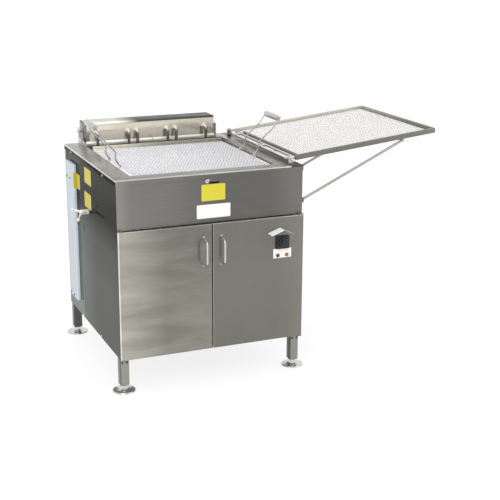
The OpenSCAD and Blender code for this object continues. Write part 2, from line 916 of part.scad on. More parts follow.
// Sheet of crossing strips, a whole number of gaps each way
module lattice(w, d, t) {
  gap_x = (w - strip_w) / net_gaps - strip_w;
  gap_y = (d - strip_w) / net_gaps - strip_w;
  difference() {
    cube([w, d, t]);
    for (i = [0 : net_gaps - 1], j = [0 : net_gaps - 1])
      translate([strip_w + i * (gap_x + strip_w), strip_w + j * (gap_y + strip_w), -cut])
        cube([gap_x, gap_y, t + 2 * cut]);
  }
}

// Frying screen: a flat bar frame with eyes for the bails, the mesh inside it and a guard behind it
module eye(x, y) {
  difference() {
    union() {
      block([x - eye_w / 2, y, screen_z], [x + eye_w / 2, y + eye_t, eye_z]);
      bar_y([x, y, eye_z], eye_w, eye_t);
    }
    bar_y([x, y - cut, eye_z], bail_d + 2 * run, eye_t + 2 * cut);
  }
}
module screen_frame() {
  eye_in = bail_span / 2 + bail_knob_d / 2 + 1;
  low = screen_z - screen_bar_t;
  color([0.75, 0.75, 0.76]) placed() {
    difference() {
      block([screen_x0, screen_y0, low], [screen_x1, screen_y1, screen_z]);
      block(
        [screen_x0 + screen_bar, screen_y0 + screen_bar, low - cut],
        [screen_x1 - screen_bar, screen_y1 - screen_bar, screen_z + cut]
      );
    }
    for (x = [bail_left_x, bail_right_x]) {
      eye(x, bail_y - eye_in - eye_t);
      eye(x, bail_y + eye_in);
    }
  }
}
module screen_mesh() {
  color([0.88, 0.87, 0.92]) placed()
    translate([screen_x0 + screen_bar, screen_y0 + screen_bar, screen_z - 1 - mesh_t])
      lattice(screen_x1 - screen_x0 - 2 * screen_bar, screen_y1 - screen_y0 - 2 * screen_bar, mesh_t);
}
module screen_guard() {
  color([0.78, 0.76, 0.68]) placed()
    block(
      [screen_x0, screen_y1, screen_z - screen_bar_t],
      [screen_x1, screen_y1 + guard_t, screen_z + guard_up]
    );
}

// Turns a bail piece about its eyes: the right one as drawn, the left one mirrored and more upright
module bail_place(side) {
  if (side < 0)
    translate([bail_left_x, bail_y, eye_z]) rotate([0, bail_left_turn, 0]) mirror([1, 0, 0]) children();
  else
    translate([bail_right_x, bail_y, eye_z]) children();
}

// Bail: two cranked legs that lean out over the deck, with a cross bar for the grip
module bail() {
  crank = [
    [0, 0], [bail_lean * 0.17, bail_h * 0.15], [bail_lean * 0.20, bail_h * 0.37],
    [bail_lean * 0.74, bail_h * 0.72], [bail_lean, bail_h]
  ];
  for (end = [-1, 1]) {
    translate([0, end * bail_span / 2, 0]) upright_xz() bent_rod(crank, bail_d, bail_bend);
    translate([0, end * bail_span / 2, 0]) sphere(d = bail_knob_d);
    bar_y([0, end * (bail_span / 2 + bail_pin / 2) - bail_pin / 2, 0], bail_d, bail_pin);
  }
  bar_y([bail_lean, -bail_span / 2 - 6, bail_h], grip_bar_d, bail_span + 12);
}
module grip() {
  difference() {
    bar_y([bail_lean, -grip_len / 2, bail_h], grip_d, grip_len);
    bar_y([bail_lean, -grip_len / 2 - cut, bail_h], grip_bar_d, grip_len + 2 * cut);
  }
}
module left_bail() {
  color([0.78, 0.78, 0.78]) placed() bail_place(-1) bail();
}
module left_grip() {
  color([0.84, 0.84, 0.84]) placed() bail_place(-1) grip();
}
module right_bail() {
  color([0.78, 0.78, 0.78]) placed() bail_place(1) bail();
}
module right_grip() {
  color([0.84, 0.84, 0.84]) placed() bail_place(1) grip();
}

// Puts a piece drawn with X along the tray from its low end, and Z square to the tray, at the tray's slope
module on_tray() {
  placed() translate([tray_x, 0, tray_z]) rotate([0, -tray_slope, 0]) children();
}
module tray_hook(y) {
  side = rod_in_x + rod_d / 2 + run;
  low_w = rod_in_w - hook_r - cut;
  difference() {
    union() {
      bar_y([rod_in_x, y - hook_w / 2, rod_in_w], 2 * hook_r, hook_w);
      block([rod_in_x, y - hook_w / 2, rod_in_w], [tray_x0, y + hook_w / 2, -1]);
      block([side, y - hook_w / 2, -rail_h / 2], [tray_x0, y + hook_w / 2, rod_in_w]);
    }
    bar_y([rod_in_x, y - hook_w / 2 - cut, rod_in_w], rod_d + 2 * run, hook_w + 2 * cut);
    block(
      [rod_in_x - hook_r - cut, y - hook_w / 2 - cut, low_w],
      [side, y + hook_w / 2 + cut, rod_in_w]
    );
    block(
      [side - cut, y - hook_w / 2 - cut, low_w],
      [side + hook_r, y + hook_w / 2 + cut, -rail_h / 2]
    );
  }
}
module stay_lug(y) {
  difference() {
    union() {
      block(
        [stay_pivot_x - stay_eye_d / 2, y, stay_pivot_w],
        [stay_pivot_x + stay_eye_d / 2, y + lug_t, -rail_h / 2]
      );
      bar_y([stay_pivot_x, y, stay_pivot_w], stay_eye_d, lug_t);
    }
    bar_y([stay_pivot_x, y - cut, stay_pivot_w], stay_rod_d, lug_t + 2 * cut);
  }
}
module tray_pan() {
  half = rail_h / 2;
  color([0.48, 0.47, 0.43]) on_tray() {
    difference() {
      block([tray_x0, tray_y0, -half], [tray_len, tray_y1, half]);
      block(
        [tray_x0 + rail_w, tray_y0 + rail_w, -half + pan_t],
        [tray_len - rail_w, tray_y1 - rail_w, half + cut]
      );
      block(
        [tray_x0 - cut, tray_y0 + rail_w, half - end_rail_drop],
        [tray_x0 + rail_w + cut, tray_y1 - rail_w, half + cut]
      );
    }
    for (y = hook_ys)
      tray_hook(y);
    for (y = lug_ys)
      stay_lug(y);
  }
}
module drain_screen() {
  x0 = tray_x0 + rail_w + 1;
  x1 = tray_len - rail_w - 1;
  y0 = tray_y0 + rail_w + 1;
  y1 = tray_y1 - rail_w - 1;
  floor_w = -rail_h / 2 + pan_t;
  pitch = (x1 - x0 - rib_t) / (ribs - 1);
  color([0.90, 0.90, 0.90]) on_tray() {
    translate([x0, y0, -mesh_t / 2 - screen_low]) lattice(x1 - x0, y1 - y0, mesh_t);
    block([x0, y0, mesh_t / 2 - screen_low], [x0 + end_bar_w, y1 - end_bar_gap, mesh_t / 2 + end_bar_t]);
    for (i = [0 : ribs - 1])
      block([x0 + i * pitch, y0, floor_w], [x0 + i * pitch + rib_t, y1, -mesh_t / 2 - screen_low]);
  }
}

// Rod held in the lugs under the tray, the three stays on it, and their pads against the side panel
module stay_rod() {
  color([0.62, 0.62, 0.60]) on_tray()
    bar_y([stay_pivot_x, stay_ys[0] - 8, stay_pivot_w], stay_rod_d, stay_ys[2] - stay_ys[0] + 16);
}
module stay_bar(d) {
  rotate([0, -stay_slope, 0]) bar_x([-stay_len, 0, 0], d, stay_len);
}
module stay(y) {
  color([0.62, 0.62, 0.60]) placed() translate([stay_top_x, y, stay_top_z]) difference() {
    union() {
      bar_y([0, -stay_eye_w / 2, 0], stay_eye_d, stay_eye_w);
      stay_bar(stay_d);
    }
    bar_y([0, -stay_eye_w, 0], stay_rod_d, 2 * stay_eye_w);
  }
}
module stay_pads() {
  low_x = cab_w + pad_gap;
  low_z = stay_top_z - (stay_top_x - low_x - pad_t / 2) * tan(stay_slope);
  color([0.08, 0.08, 0.08]) placed()
    for (y = stay_ys)
      difference() {
        bar_x([low_x, y, low_z], pad_d, pad_t);
        translate([stay_top_x, y, stay_top_z]) stay_bar(stay_d);
      }
}
module tray_stays() {
  for (y = stay_ys)
    stay(y);
}

leg_front_left();
leg_front_right();
leg_rear_left();
leg_rear_right();
levelling_feet();
left_panel();
right_panel();
back_panel();
front_apron();
top_deck();
cabinet_floor();
kettle();
kettle_floor();
drain_pipe();
drain_valve();
stem_gland();
valve_handle();
wire_cover();
casing_screws();
caution_plate();
maker_plate();
side_plates();
apron_hook();
hinge_rod();
rod_posts();
head_brackets();
control_box();
contactors();
cable_gland();
door_pivots();
left_door_panel();
left_door_handle();
right_door_panel();
right_door_handle();
controller_hood();
controller_case();
control_dial();
indicator_plate();
red_lamp();
amber_lamp();
head_box();
head_cover();
element_left();
element_middle();
element_right();
element_bushes();
head_pins();
thermostat_bulb();
screen_frame();
screen_mesh();
screen_guard();
left_bail();
left_grip();
right_bail();
right_grip();
tray_pan();
drain_screen();
stay_rod();
tray_stays();
stay_pads();
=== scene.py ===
"""Looks of an open-kettle donut fryer with a hinged drain tray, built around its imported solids."""

import logging
import math
from dataclasses import dataclass
from enum import Enum
from typing import Iterable, Sequence

import bmesh
import bpy
from mathutils import Matrix, Vector

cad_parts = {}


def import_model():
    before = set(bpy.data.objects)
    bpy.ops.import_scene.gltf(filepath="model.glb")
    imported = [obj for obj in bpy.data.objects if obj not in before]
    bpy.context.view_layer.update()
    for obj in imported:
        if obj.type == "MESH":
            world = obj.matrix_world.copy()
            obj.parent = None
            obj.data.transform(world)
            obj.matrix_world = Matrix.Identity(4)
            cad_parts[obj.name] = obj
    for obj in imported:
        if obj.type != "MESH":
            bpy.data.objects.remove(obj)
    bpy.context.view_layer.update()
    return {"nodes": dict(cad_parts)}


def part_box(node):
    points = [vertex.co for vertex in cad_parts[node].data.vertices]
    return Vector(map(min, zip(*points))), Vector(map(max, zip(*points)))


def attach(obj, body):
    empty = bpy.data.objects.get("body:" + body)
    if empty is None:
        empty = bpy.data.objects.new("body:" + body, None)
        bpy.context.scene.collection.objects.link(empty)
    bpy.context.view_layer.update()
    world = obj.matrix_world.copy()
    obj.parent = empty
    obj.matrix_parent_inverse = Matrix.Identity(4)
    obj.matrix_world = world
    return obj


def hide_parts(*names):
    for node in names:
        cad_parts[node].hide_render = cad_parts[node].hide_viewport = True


LOG = logging.getLogger("donut_fryer")
MM = 0.001
IMAGE_SIZE = 500
SMOOTH_ANGLE = math.radians(38)

SPOT_SCALE, SPOT_TINT = 70.0, (0.45, 0.45, 0.42)
# Painted shade bands where the woven wire's crimp catches the light: their scale and tint.
CRIMP_SCALE, CRIMP_SHADE_TINT = 42.0, (0.55, 0.55, 0.60)
MARK_DEPTH = 0.0006
SHEET_THICKNESS = 1.5 * MM

LEFT, RIGHT = Vector((-1, 0, 0)), Vector((1, 0, 0))
FRONT, BACK = Vector((0, -1, 0)), Vector((0, 1, 0))

Colour = tuple[float, float, float]
Point = tuple[float, float, float]
Pair = tuple[float, float]
Profile = Sequence[Pair]
Node = bpy.types.Node
Socket = bpy.types.NodeSocket
Tree = bpy.types.NodeTree
Edge = bmesh.types.BMEdge
Vert = bmesh.types.BMVert


class Grain(Enum):
    """Stretch of the brushing marks on a sheet, as texture scales along X, Y and Z."""

    NONE = (60.0, 60.0, 60.0)
    ALONG_X = (3.0, 260.0, 260.0)
    ALONG_Y = (260.0, 3.0, 260.0)
    ALONG_Z = (260.0, 260.0, 3.0)


NONE, ALONG_X, ALONG_Y, ALONG_Z = Grain


class Axis(Enum):
    """An axis of the object's frame, by its place in a vector."""

    X = 0
    Y = 1
    Z = 2


X, Y, Z = Axis


@dataclass(frozen=True)
class Fade:
    """A painted change of light or shade across a piece, as a colour multiplied along one axis.

    Attributes:
        axis: axis that the shade changes along.
        none: place where it starts, in millimetres from the cabinet's corner.
        full: place where it is complete.
        tint: what the colour is multiplied by there.
    """

    axis: Axis
    none: float
    full: float
    tint: float


class Graph:
    """Node tree of one material or group, with short calls that add and join nodes."""

    def __init__(self, tree: Tree) -> None:
        """Takes the tree and empties it."""
        self.tree = tree
        self.tree.nodes.clear()
        self.count = 0

    def add(self, kind: str, **settings: object) -> Node:
        """Adds a node.

        Args:
            kind: Blender's name of the node type.
            settings: attributes of the node, set by name.

        Returns:
            The new node.
        """
        node = self.tree.nodes.new(kind)
        node.location = (self.count * 180, 0)
        self.count += 1
        for name, value in settings.items():
            setattr(node, name, value)
        return node

    def join(self, source: Socket, target: Socket) -> None:
        """Links an output socket to an input socket."""
        self.tree.links.new(source, target)

    def spread(self, source: Socket, low: float, high: float, start: float = 0.0, end: float = 1.0) -> Socket:
        """Maps a value from low..high to start..end, clamped.

        Args:
            source: the value.
            low: value that becomes start.
            high: value that becomes end.
            start: first value of the new range.
            end: last value of the new range.

        Returns:
            The mapped value's socket.
        """
        node = self.add("ShaderNodeMapRange", clamp=True)
        self.join(source, node.inputs["Value"])
        for name, value in (("From Min", low), ("From Max", high), ("To Min", start), ("To Max", end)):
            node.inputs[name].default_value = value
        return node.outputs["Result"]

    def tint(self, mask: Socket, colour: Socket | Colour, tint: Colour, share: float = 1.0) -> Socket:
        """Multiplies a colour by a tint where a mask is set.

        Args:
            mask: places of the tint.
            colour: a colour, or the socket of one.
            tint: what the colour is multiplied by.
            share: share of the tint at a full mask.

        Returns:
            The new colour's socket.
        """
        if share != 1.0:
            mask = self.spread(mask, 0, 1, 0, share)
        node = self.add("ShaderNodeMix", data_type="RGBA", blend_type="MULTIPLY")
        self.join(mask, node.inputs[0])
        if isinstance(colour, Socket):
            self.join(colour, node.inputs[6])
        else:
            node.inputs[6].default_value = (*colour, 1.0)
        node.inputs[7].default_value = (*tint, 1.0)
        return node.outputs[2]

    def stretch(self, place: Socket, scale: Point) -> Socket:
        """Scales texture coordinates along X, Y and Z and returns the new ones."""
        node = self.add("ShaderNodeMapping")
        node.inputs["Scale"].default_value = scale
        self.join(place, node.inputs["Vector"])
        return node.outputs["Vector"]

    def texture(self, kind: str, source: Node, values: dict[str, float], **settings: object) -> Node:
        """Adds a texture that takes what values leave open from a group's inputs.

        Args:
            kind: Blender's name of the node type.
            source: the group's input node, with a vector and perhaps a scale.
            values: the texture's own inputs, by name.
            settings: attributes of the node, set by name.

        Returns:
            The new node.
        """
        node = self.add(kind, **settings)
        for name, value in values.items():
            node.inputs[name].default_value = value
        for name in ("Vector", "Scale"):
            if name in source.outputs and name not in values:
                self.join(source.outputs[name], node.inputs[name])
        return node


def new_group(name: str, values: Sequence[tuple[str, float]]) -> tuple[Graph, Node, Node]:
    """Makes a shader node group with a vector input, value inputs and one mask output.

    Args:
        name: name of the group.
        values: names and first values of the value inputs.

    Returns:
        The group's graph, its input node and its output node.
    """
    tree = bpy.data.node_groups.new(name, "ShaderNodeTree")
    tree.interface.new_socket("Vector", in_out="INPUT", socket_type="NodeSocketVector")
    for label, value in values:
        socket = tree.interface.new_socket(label, in_out="INPUT", socket_type="NodeSocketFloat")
        socket.default_value = value
    tree.interface.new_socket("Mask", in_out="OUTPUT", socket_type="NodeSocketFloat")
    graph = Graph(tree)
    return graph, graph.add("NodeGroupInput"), graph.add("NodeGroupOutput")


class Effects:
    """Shader node groups that the finishes share, each built once."""

    def __init__(self, corner: Vector) -> None:
        """Builds the four groups.

        Args:
            corner: the cabinet's front left corner on the floor, which fades are measured from.
        """
        self.corner = corner
        self.brushing = self.build_brushing()
        self.smears = self.build_smears()
        self.specks = self.build_specks()
        self.crimp = self.build_crimp()

    @staticmethod
    def build_brushing() -> Tree:
        """Builds fine parallel marks; the material's mapping gives their direction."""
        graph, source, result = new_group("Brushing marks", [])
        noise = graph.texture("ShaderNodeTexNoise", source, {"Scale": 1.0, "Detail": 4.0, "Roughness": 0.62})
        graph.join(graph.spread(noise.outputs["Fac"], 0.3, 0.7), result.inputs["Mask"])
        return graph.tree

    @staticmethod
    def build_smears() -> Tree:
        """Builds soft clouds, as wiped grease leaves on sheet metal."""
        graph, source, result = new_group("Wiped smears", [("Scale", 3.0)])
        values = {"Detail": 5.0, "Roughness": 0.55, "Distortion": 0.7}
        noise = graph.texture("ShaderNodeTexNoise", source, values)
        graph.join(graph.spread(noise.outputs["Fac"], 0.34, 0.68), result.inputs["Mask"])
        return graph.tree

    @staticmethod
    def build_specks() -> Tree:
        """Builds scattered small spots, as dried drops leave."""
        graph, source, result = new_group("Dried spots", [("Scale", SPOT_SCALE)])
        cells = graph.texture("ShaderNodeTexVoronoi", source, {})
        patches = graph.texture("ShaderNodeTexNoise", source, {"Scale": 9.0, "Detail": 3.0})
        both = graph.add("ShaderNodeMath", operation="MULTIPLY")
        graph.join(graph.spread(cells.outputs["Distance"], 0.26, 0.12), both.inputs[0])
        graph.join(graph.spread(patches.outputs["Fac"], 0.5, 0.66), both.inputs[1])
        graph.join(both.outputs[0], result.inputs["Mask"])
        return graph.tree

    @staticmethod
    def build_crimp() -> Tree:
        """Builds slanting bands of painted shade, as the crimp of woven wire shows in the light."""
        graph, source, result = new_group("Wire crimp shade", [("Scale", CRIMP_SCALE)])
        values = {"Distortion": 2.2, "Detail": 1.0, "Detail Scale": 0.6}
        bands = graph.texture(
            "ShaderNodeTexWave", source, values, wave_type="BANDS", bands_direction="DIAGONAL"
        )
        graph.join(bands.outputs["Fac"], result.inputs["Mask"])
        return graph.tree


@dataclass(frozen=True)
class Finish:
    """One surface finish.

    Attributes:
        name: name of the material.
        slot: material slot of the record.
        colour: linear base colour.
        metallic: share of metal in the shader.
        roughness: middle roughness.
        grain: direction of the brushing marks.
        streak: how much the marks lighten the colour.
        smear: how much the smears darken the colour.
        smear_scale: smears to a metre.
        smear_tint: colour of the smears, as a share of the base colour.
        smear_stretch: how much finer the smears are along X, Y and Z.
        spots: how strongly dried spots show.
        ripple: how strongly the painted shade bands of the woven wire's crimp show.
        bump: strength of the marks' relief.
        coat: weight of a clear coat.
        edge_tint: share of the mirror shine that is left at a flat angle.
        fades: painted changes of light and shade across the piece.
    """

    name: str
    slot: str
    colour: Colour
    metallic: float = 0.0
    roughness: float = 0.5
    grain: Grain = NONE
    streak: float = 0.12
    smear: float = 0.3
    smear_scale: float = 4.0
    smear_tint: Colour = (0.72, 0.70, 0.66)
    smear_stretch: Point = (1.0, 1.0, 1.0)
    spots: float = 0.0
    ripple: float = 0.0
    bump: float = 0.05
    coat: float = 0.0
    edge_tint: float = 1.0
    fades: tuple[Fade, ...] = ()

    def material(self, effects: Effects) -> bpy.types.Material:
        """Builds the material the first time it is asked for.

        Args:
            effects: the shared node groups.

        Returns:
            The material.
        """
        found = bpy.data.materials.get(self.name)
        if found is not None:
            return found
        made = bpy.data.materials.new(self.name)
        made.use_nodes = True
        graph = Graph(made.node_tree)
        place = graph.add("ShaderNodeTexCoord").outputs["Object"]
        marks = self.effect(graph, effects.brushing, graph.stretch(place, self.grain.value))
        clouds = self.effect(graph, effects.smears, graph.stretch(place, self.smear_stretch), self.smear_scale)
        shader = graph.add("ShaderNodeBsdfPrincipled")
        colour = graph.tint(marks, self.colour, (1 + 2 * self.streak,) * 3, 0.5)
        colour = graph.tint(clouds, colour, self.smear_tint, self.smear)
        if self.spots > 0:
            drops = self.effect(graph, effects.specks, place, SPOT_SCALE)
            colour = graph.tint(drops, colour, SPOT_TINT, self.spots)
        # Painted shade in slanting bands, as the woven wire's crimp shows in the light.
        if self.ripple > 0:
            bands = self.effect(graph, effects.crimp, place, CRIMP_SCALE)
            colour = graph.tint(bands, colour, CRIMP_SHADE_TINT, self.ripple)
        # Painted light and shade: each fade multiplies the colour along one axis of the piece.
        if self.fades:
            parts = graph.add("ShaderNodeSeparateXYZ")
            graph.join(place, parts.inputs["Vector"])
        for fade in self.fades:
            base = effects.corner[fade.axis.value]
            mask = graph.spread(parts.outputs[fade.axis.value], base + fade.none * MM, base + fade.full * MM)
            colour = graph.tint(mask, colour, (fade.tint,) * 3)
        graph.join(colour, shader.inputs["Base Color"])
        rough = graph.add("ShaderNodeMath", operation="ADD")
        graph.join(graph.spread(clouds, 0, 1, self.roughness - 0.05, self.roughness + 0.08), rough.inputs[0])
        graph.join(graph.spread(marks, 0, 1, -0.03, 0.03), rough.inputs[1])
        graph.join(rough.outputs[0], shader.inputs["Roughness"])
        shader.inputs["Metallic"].default_value = self.metallic
        shader.inputs["Coat Weight"].default_value = self.coat
        shader.inputs["Specular Tint"].default_value = (*(self.edge_tint,) * 3, 1.0)
        relief = graph.add("ShaderNodeBump")
        relief.inputs["Strength"].default_value = self.bump
        relief.inputs["Distance"].default_value = MARK_DEPTH
        graph.join(marks, relief.inputs["Height"])
        graph.join(relief.outputs["Normal"], shader.inputs["Normal"])
        output = graph.add("ShaderNodeOutputMaterial")
        graph.join(shader.outputs["BSDF"], output.inputs["Surface"])
        return made

    @staticmethod
    def effect(graph: Graph, group: Tree, vector: Socket, scale: float | None = None) -> Socket:
        """Places a shared group in a material.

        Args:
            graph: the material's graph.
            group: the group.
            vector: texture coordinates for it.
            scale: its Scale input, where it has one.

        Returns:
            The group's mask.
        """
        node = graph.add("ShaderNodeGroup", node_tree=group)
        graph.join(vector, node.inputs["Vector"])
        if scale is not None:
            node.inputs["Scale"].default_value = scale
        return node.outputs["Mask"]


# Left panel: the dark base colour is a painted dark reflection of the surroundings; the fades paint shade above
# 720 mm, light near the top, the bottom and the rear, and a lighter strip where the cover's reflection falls.
SIDE_STEEL = Finish(
    "side steel", "casing_steel", (0.174, 0.180, 0.170), 1.0, 0.06, ALONG_Z, 0.08, 0.35, 2.2, bump=0.01,
    edge_tint=0.45,
    fades=(Fade(Z, 600, 720, 0.3), Fade(Z, 790, 870, 1.5), Fade(Y, 330, 600, 1.55),
           Fade(Z, 560, 430, 1.2), Fade(Y, 560, 580, 1.43)),
)
# Left deck skirt: the very dark base colour is a painted dark reflection on the left-facing sheet.
SIDE_SKIRT = Finish(
    "side skirt steel", "deck_steel", (0.06, 0.063, 0.06), 1.0, 0.2, ALONG_Y, 0.08, 0.3, 3.0, bump=0.02,
    edge_tint=0.4,
)
# Apron and front skirt: painted shade darker from the middle rightwards, painted light towards both ends, and a
# painted highlight on the rounded left edge.
APRON_STEEL = Finish(
    "apron steel", "casing_steel", (0.198, 0.194, 0.182), 0.8, 0.3, ALONG_X, 0.14, 0.3, 2.4, bump=0.03,
    fades=(Fade(X, 60, 470, 0.64), Fade(X, 690, 800, 1.3), Fade(X, 60, 20, 1.25),
           Fade(X, 5, 2, 1.5)),
)
# Left door: a lighter copy of the door steel as painted light; painted shade darker rightwards and lighter
# towards the bottom, painted highlights on its left side and top faces, and painted shadow along its right edge
# to deepen the seam.
LEFT_DOOR_STEEL = Finish(
    "left door steel", "door_steel", (0.41, 0.398, 0.338), 0.8, 0.2, ALONG_X, 0.10, 0.75, 3.4,
    (0.56, 0.57, 0.58), (0.7, 1.0, 3.2), bump=0.03,
    fades=(Fade(X, 25, 205, 0.56), Fade(Z, 400, 180, 1.22), Fade(X, 3.2, 2.2, 2.0),
           Fade(Z, 714, 715, 2.0), Fade(X, 409.0, 411.0, 0.1)),
)
# Right door: a darker copy of the door steel as painted shade, lighter at its right end, with painted highlights
# on its left edge and top face.
RIGHT_DOOR_STEEL = Finish(
    "right door steel", "door_steel", (0.178, 0.176, 0.154), 0.8, 0.2, ALONG_Z, 0.08, 0.3, 2.6, bump=0.03,
    fades=(Fade(X, 700, 830, 1.2), Fade(X, 418.5, 416.8, 2.6), Fade(Z, 714, 715, 2.8)),
)
# Deck: painted highlights on the rolled left and front edges, painted shade on the front strip, painted light on
# the right strip and the rear, and a painted shadow of the hinge rod beyond 788 mm; its dried spots are stains.
DECK_STEEL = Finish(
    "deck steel", "deck_steel", (0.275, 0.272, 0.25), 0.8, 0.3, ALONG_Y, 0.14, 0.6, 7.0, spots=0.2,
    fades=(Fade(X, -1.0, -3.0, 2.6), Fade(Y, -1.0, -3.0, 2.4), Fade(Y, 70, 45, 0.8),
           Fade(X, 754, 760, 1.2), Fade(X, 778, 788, 0.1),
           Fade(Y, 480, 620, 1.25)),
)
# Terminal box: painted dark reflection on its left end face, painted light on its lower part, and slight painted
# shade rightwards and at the very top.
HEAD_STEEL = Finish(
    "head steel", "deck_steel", (0.46, 0.433, 0.37), 0.8, 0.15, ALONG_X, 0.08, 0.3, 5.0, bump=0.01,
    fades=(Fade(X, 230, 600, 0.95), Fade(X, 81, 79, 0.16), Fade(Z, 1060, 1020, 1.55),
           Fade(Z, 1065, 1085, 0.85)),
)
# Box lip: the near-white base is a painted highlight of the lip catching the light, with painted shade
# rightwards.
LIP_STEEL = Finish(
    "lip steel", "deck_steel", (0.98, 0.98, 0.93), 0.2, 0.3, ALONG_X, 0.05, 0.15, 6.0,
    fades=(Fade(X, 300, 600, 0.72),),
)
# Lid: the bright base is painted sheen at its left end, with painted dark reflection beyond 330 mm and on its
# left end face.
LID_STEEL = Finish(
    "lid steel", "deck_steel", (1.0, 0.97, 0.84), 1.0, 0.24, ALONG_X, 0.05, 0.1, 5.0, bump=0.02,
    edge_tint=0.62, fades=(Fade(X, 230, 330, 0.07), Fade(X, 81, 79, 0.2)),
)
# Screen guard: the pale base is painted light at its left end, fading to painted shade rightwards; its dried
# spots are stains.
GUARD_STEEL = Finish(
    "guard steel", "deck_steel", (0.95, 0.92, 0.80), 0.8, 0.26, ALONG_X, 0.04, 0.5, 6.0, spots=0.1,
    fades=(Fade(X, 100, 440, 0.42),),
)
BACK_STEEL = Finish(
    "back steel", "casing_steel", (0.17, 0.17, 0.16), 0.8, 0.34, ALONG_Z, 0.12, 0.35, 2.4
)
# Kettle: painted light on its right wall, beyond 749 mm; its dried spots are stains.
KETTLE_STEEL = Finish(
    "kettle steel", "deck_steel", (0.30, 0.292, 0.265), 0.75, 0.36, ALONG_Z, 0.12, 0.5, 6.0, spots=0.3,
    fades=(Fade(X, 745, 749, 1.9),),
)
# Legs: painted shade on the left faces of the front legs, and the rear legs as a dark, shaded copy of the leg
# steel.
LEG_STEEL = Finish(
    "left leg steel", "leg_steel", (0.30, 0.30, 0.277), 0.8, 0.28, ALONG_Z, 0.12, 0.35, 7.0,
    fades=(Fade(X, 5.5, 3.0, 0.35),),
)
RIGHT_LEG_STEEL = Finish(
    "right leg steel", "leg_steel", (0.29, 0.29, 0.268), 0.8, 0.28, ALONG_Z, 0.12, 0.35, 7.0,
    fades=(Fade(X, 801.5, 799.0, 0.2),),
)
REAR_LEG_STEEL = Finish(
    "rear leg steel", "leg_steel", (0.085, 0.088, 0.088), 0.8, 0.28, ALONG_Z, 0.12, 0.35, 7.0
)
# Hood: a white, matte base as painted light on the steel, with painted shade on the slope right of the ridge.
HOOD_STEEL = Finish(
    "hood steel", "door_steel", (1.0, 1.0, 0.98), 0.0, 0.3, ALONG_Y, 0.04, 0.05, 9.0,
    fades=(Fade(X, 725, 729, 0.42),),
)
BRACKET_STEEL = Finish("bracket steel", "deck_steel", (0.60, 0.57, 0.52), 0.7, 0.3, ALONG_Z, 0.08, 0.3, 12.0)
POLISHED_METAL = Finish(
    "polished metal", "bright_metal", (0.84, 0.87, 0.87), 0.3, 0.25, NONE, 0.03, 0.12, 24.0
)
SCREW_METAL = Finish("dark screw metal", "bright_metal", (0.05, 0.05, 0.055), 0.8, 0.3, NONE, 0.1, 0.3, 60.0)
BRIGHT_METAL = Finish("bright metal", "bright_metal", (0.62, 0.62, 0.61), 0.9, 0.16, NONE, 0.05, 0.35, 24.0)
GRIP_METAL = Finish("grip metal", "bright_metal", (0.50, 0.50, 0.49), 0.85, 0.24, ALONG_Y, 0.1, 0.4, 30.0)
# Screen and tray wire: ripple paints shade bands from the crimp; the screen also has painted shade slightly
# darker towards the right.
WIRE_METAL = Finish(
    "screen wire", "wire_metal", (1.0, 0.995, 1.0), 0.3, 0.30, NONE, 0.03, 0.25, 6.0, (0.86, 0.86, 0.85),
    ripple=0.8, fades=(Fade(X, 250, 700, 0.92),),
)
TRAY_WIRE = Finish(
    "tray wire", "wire_metal", (0.96, 0.955, 0.94), 0.35, 0.30, NONE, 0.03, 0.25, 6.0, (0.88, 0.87, 0.85),
    ripple=0.35,
)
# Hinge rod and hooks: painted shade on the lower half, under 949 mm.
HINGE_METAL = Finish(
    "hinge metal", "wire_metal", (0.72, 0.71, 0.68), 0.9, 0.14, ALONG_Y, 0.05, 0.15, 16.0,
    fades=(Fade(Z, 954, 949, 0.12),),
)
ROD_METAL = Finish("rod metal", "wire_metal", (0.42, 0.41, 0.39), 0.85, 0.24, ALONG_Y, 0.10, 0.35, 16.0)
# Tray rails: painted light towards the rear, on the rear rail and at the far end; its dried spots are stains.
TRAY_STEEL = Finish(
    "tray steel", "tray_steel", (0.178, 0.173, 0.155), 0.8, 0.3, ALONG_X, 0.12, 0.4, 5.0, spots=0.15,
    fades=(Fade(Y, 250, 650, 1.7), Fade(Y, 690, 703, 1.9), Fade(X, 1300, 1495, 1.25)),
)
TRAY_SHEET = Finish("tray sheet", "tray_steel", (0.66, 0.65, 0.62), 0.6, 0.3, ALONG_X, 0.05, 0.3, 6.0)
# Heater tubes: the dark base is painted shade, with painted highlights on the arch tops above 986 mm.
HEATER_TUBE = Finish(
    "heater tube", "heater_tube", (0.15, 0.145, 0.135), 0.9, 0.14, NONE, 0.1, 0.3, 14.0,
    fades=(Fade(Z, 986, 999, 5.5),),
)
# Screen end bar and ribs: the dark tone is partly the bar's own and partly painted shadow of the gap between
# screen and pan.
BAR_STEEL = Finish("end bar steel", "tray_steel", (0.16, 0.16, 0.16), 0.8, 0.3, ALONG_Y, 0.12, 0.4, 12.0)
BUSH_METAL = Finish("bush metal", "brass_fittings", (0.80, 0.78, 0.71), 0.85, 0.2, NONE, 0.06, 0.25, 30.0)
BRASS = Finish("dull brass", "brass_fittings", (0.48, 0.38, 0.20), 0.85, 0.38, NONE, 0.1, 0.5, 25.0)
PIPE_STEEL = Finish("pipe steel", "pipe_steel", (0.30, 0.30, 0.29), 0.8, 0.4, ALONG_Z, 0.1, 0.4, 12.0)
# Wire cover: painted light on its front-facing side.
COVER_PAINT = Finish(
    "cover paint", "cover_paint", (0.52, 0.575, 0.62), 0.1, 0.42, NONE, 0.03, 0.25, 5.0, (0.84, 0.87, 0.92),
    bump=0.02, fades=(Fade(Y, 635.5, 634.0, 1.35),),
)
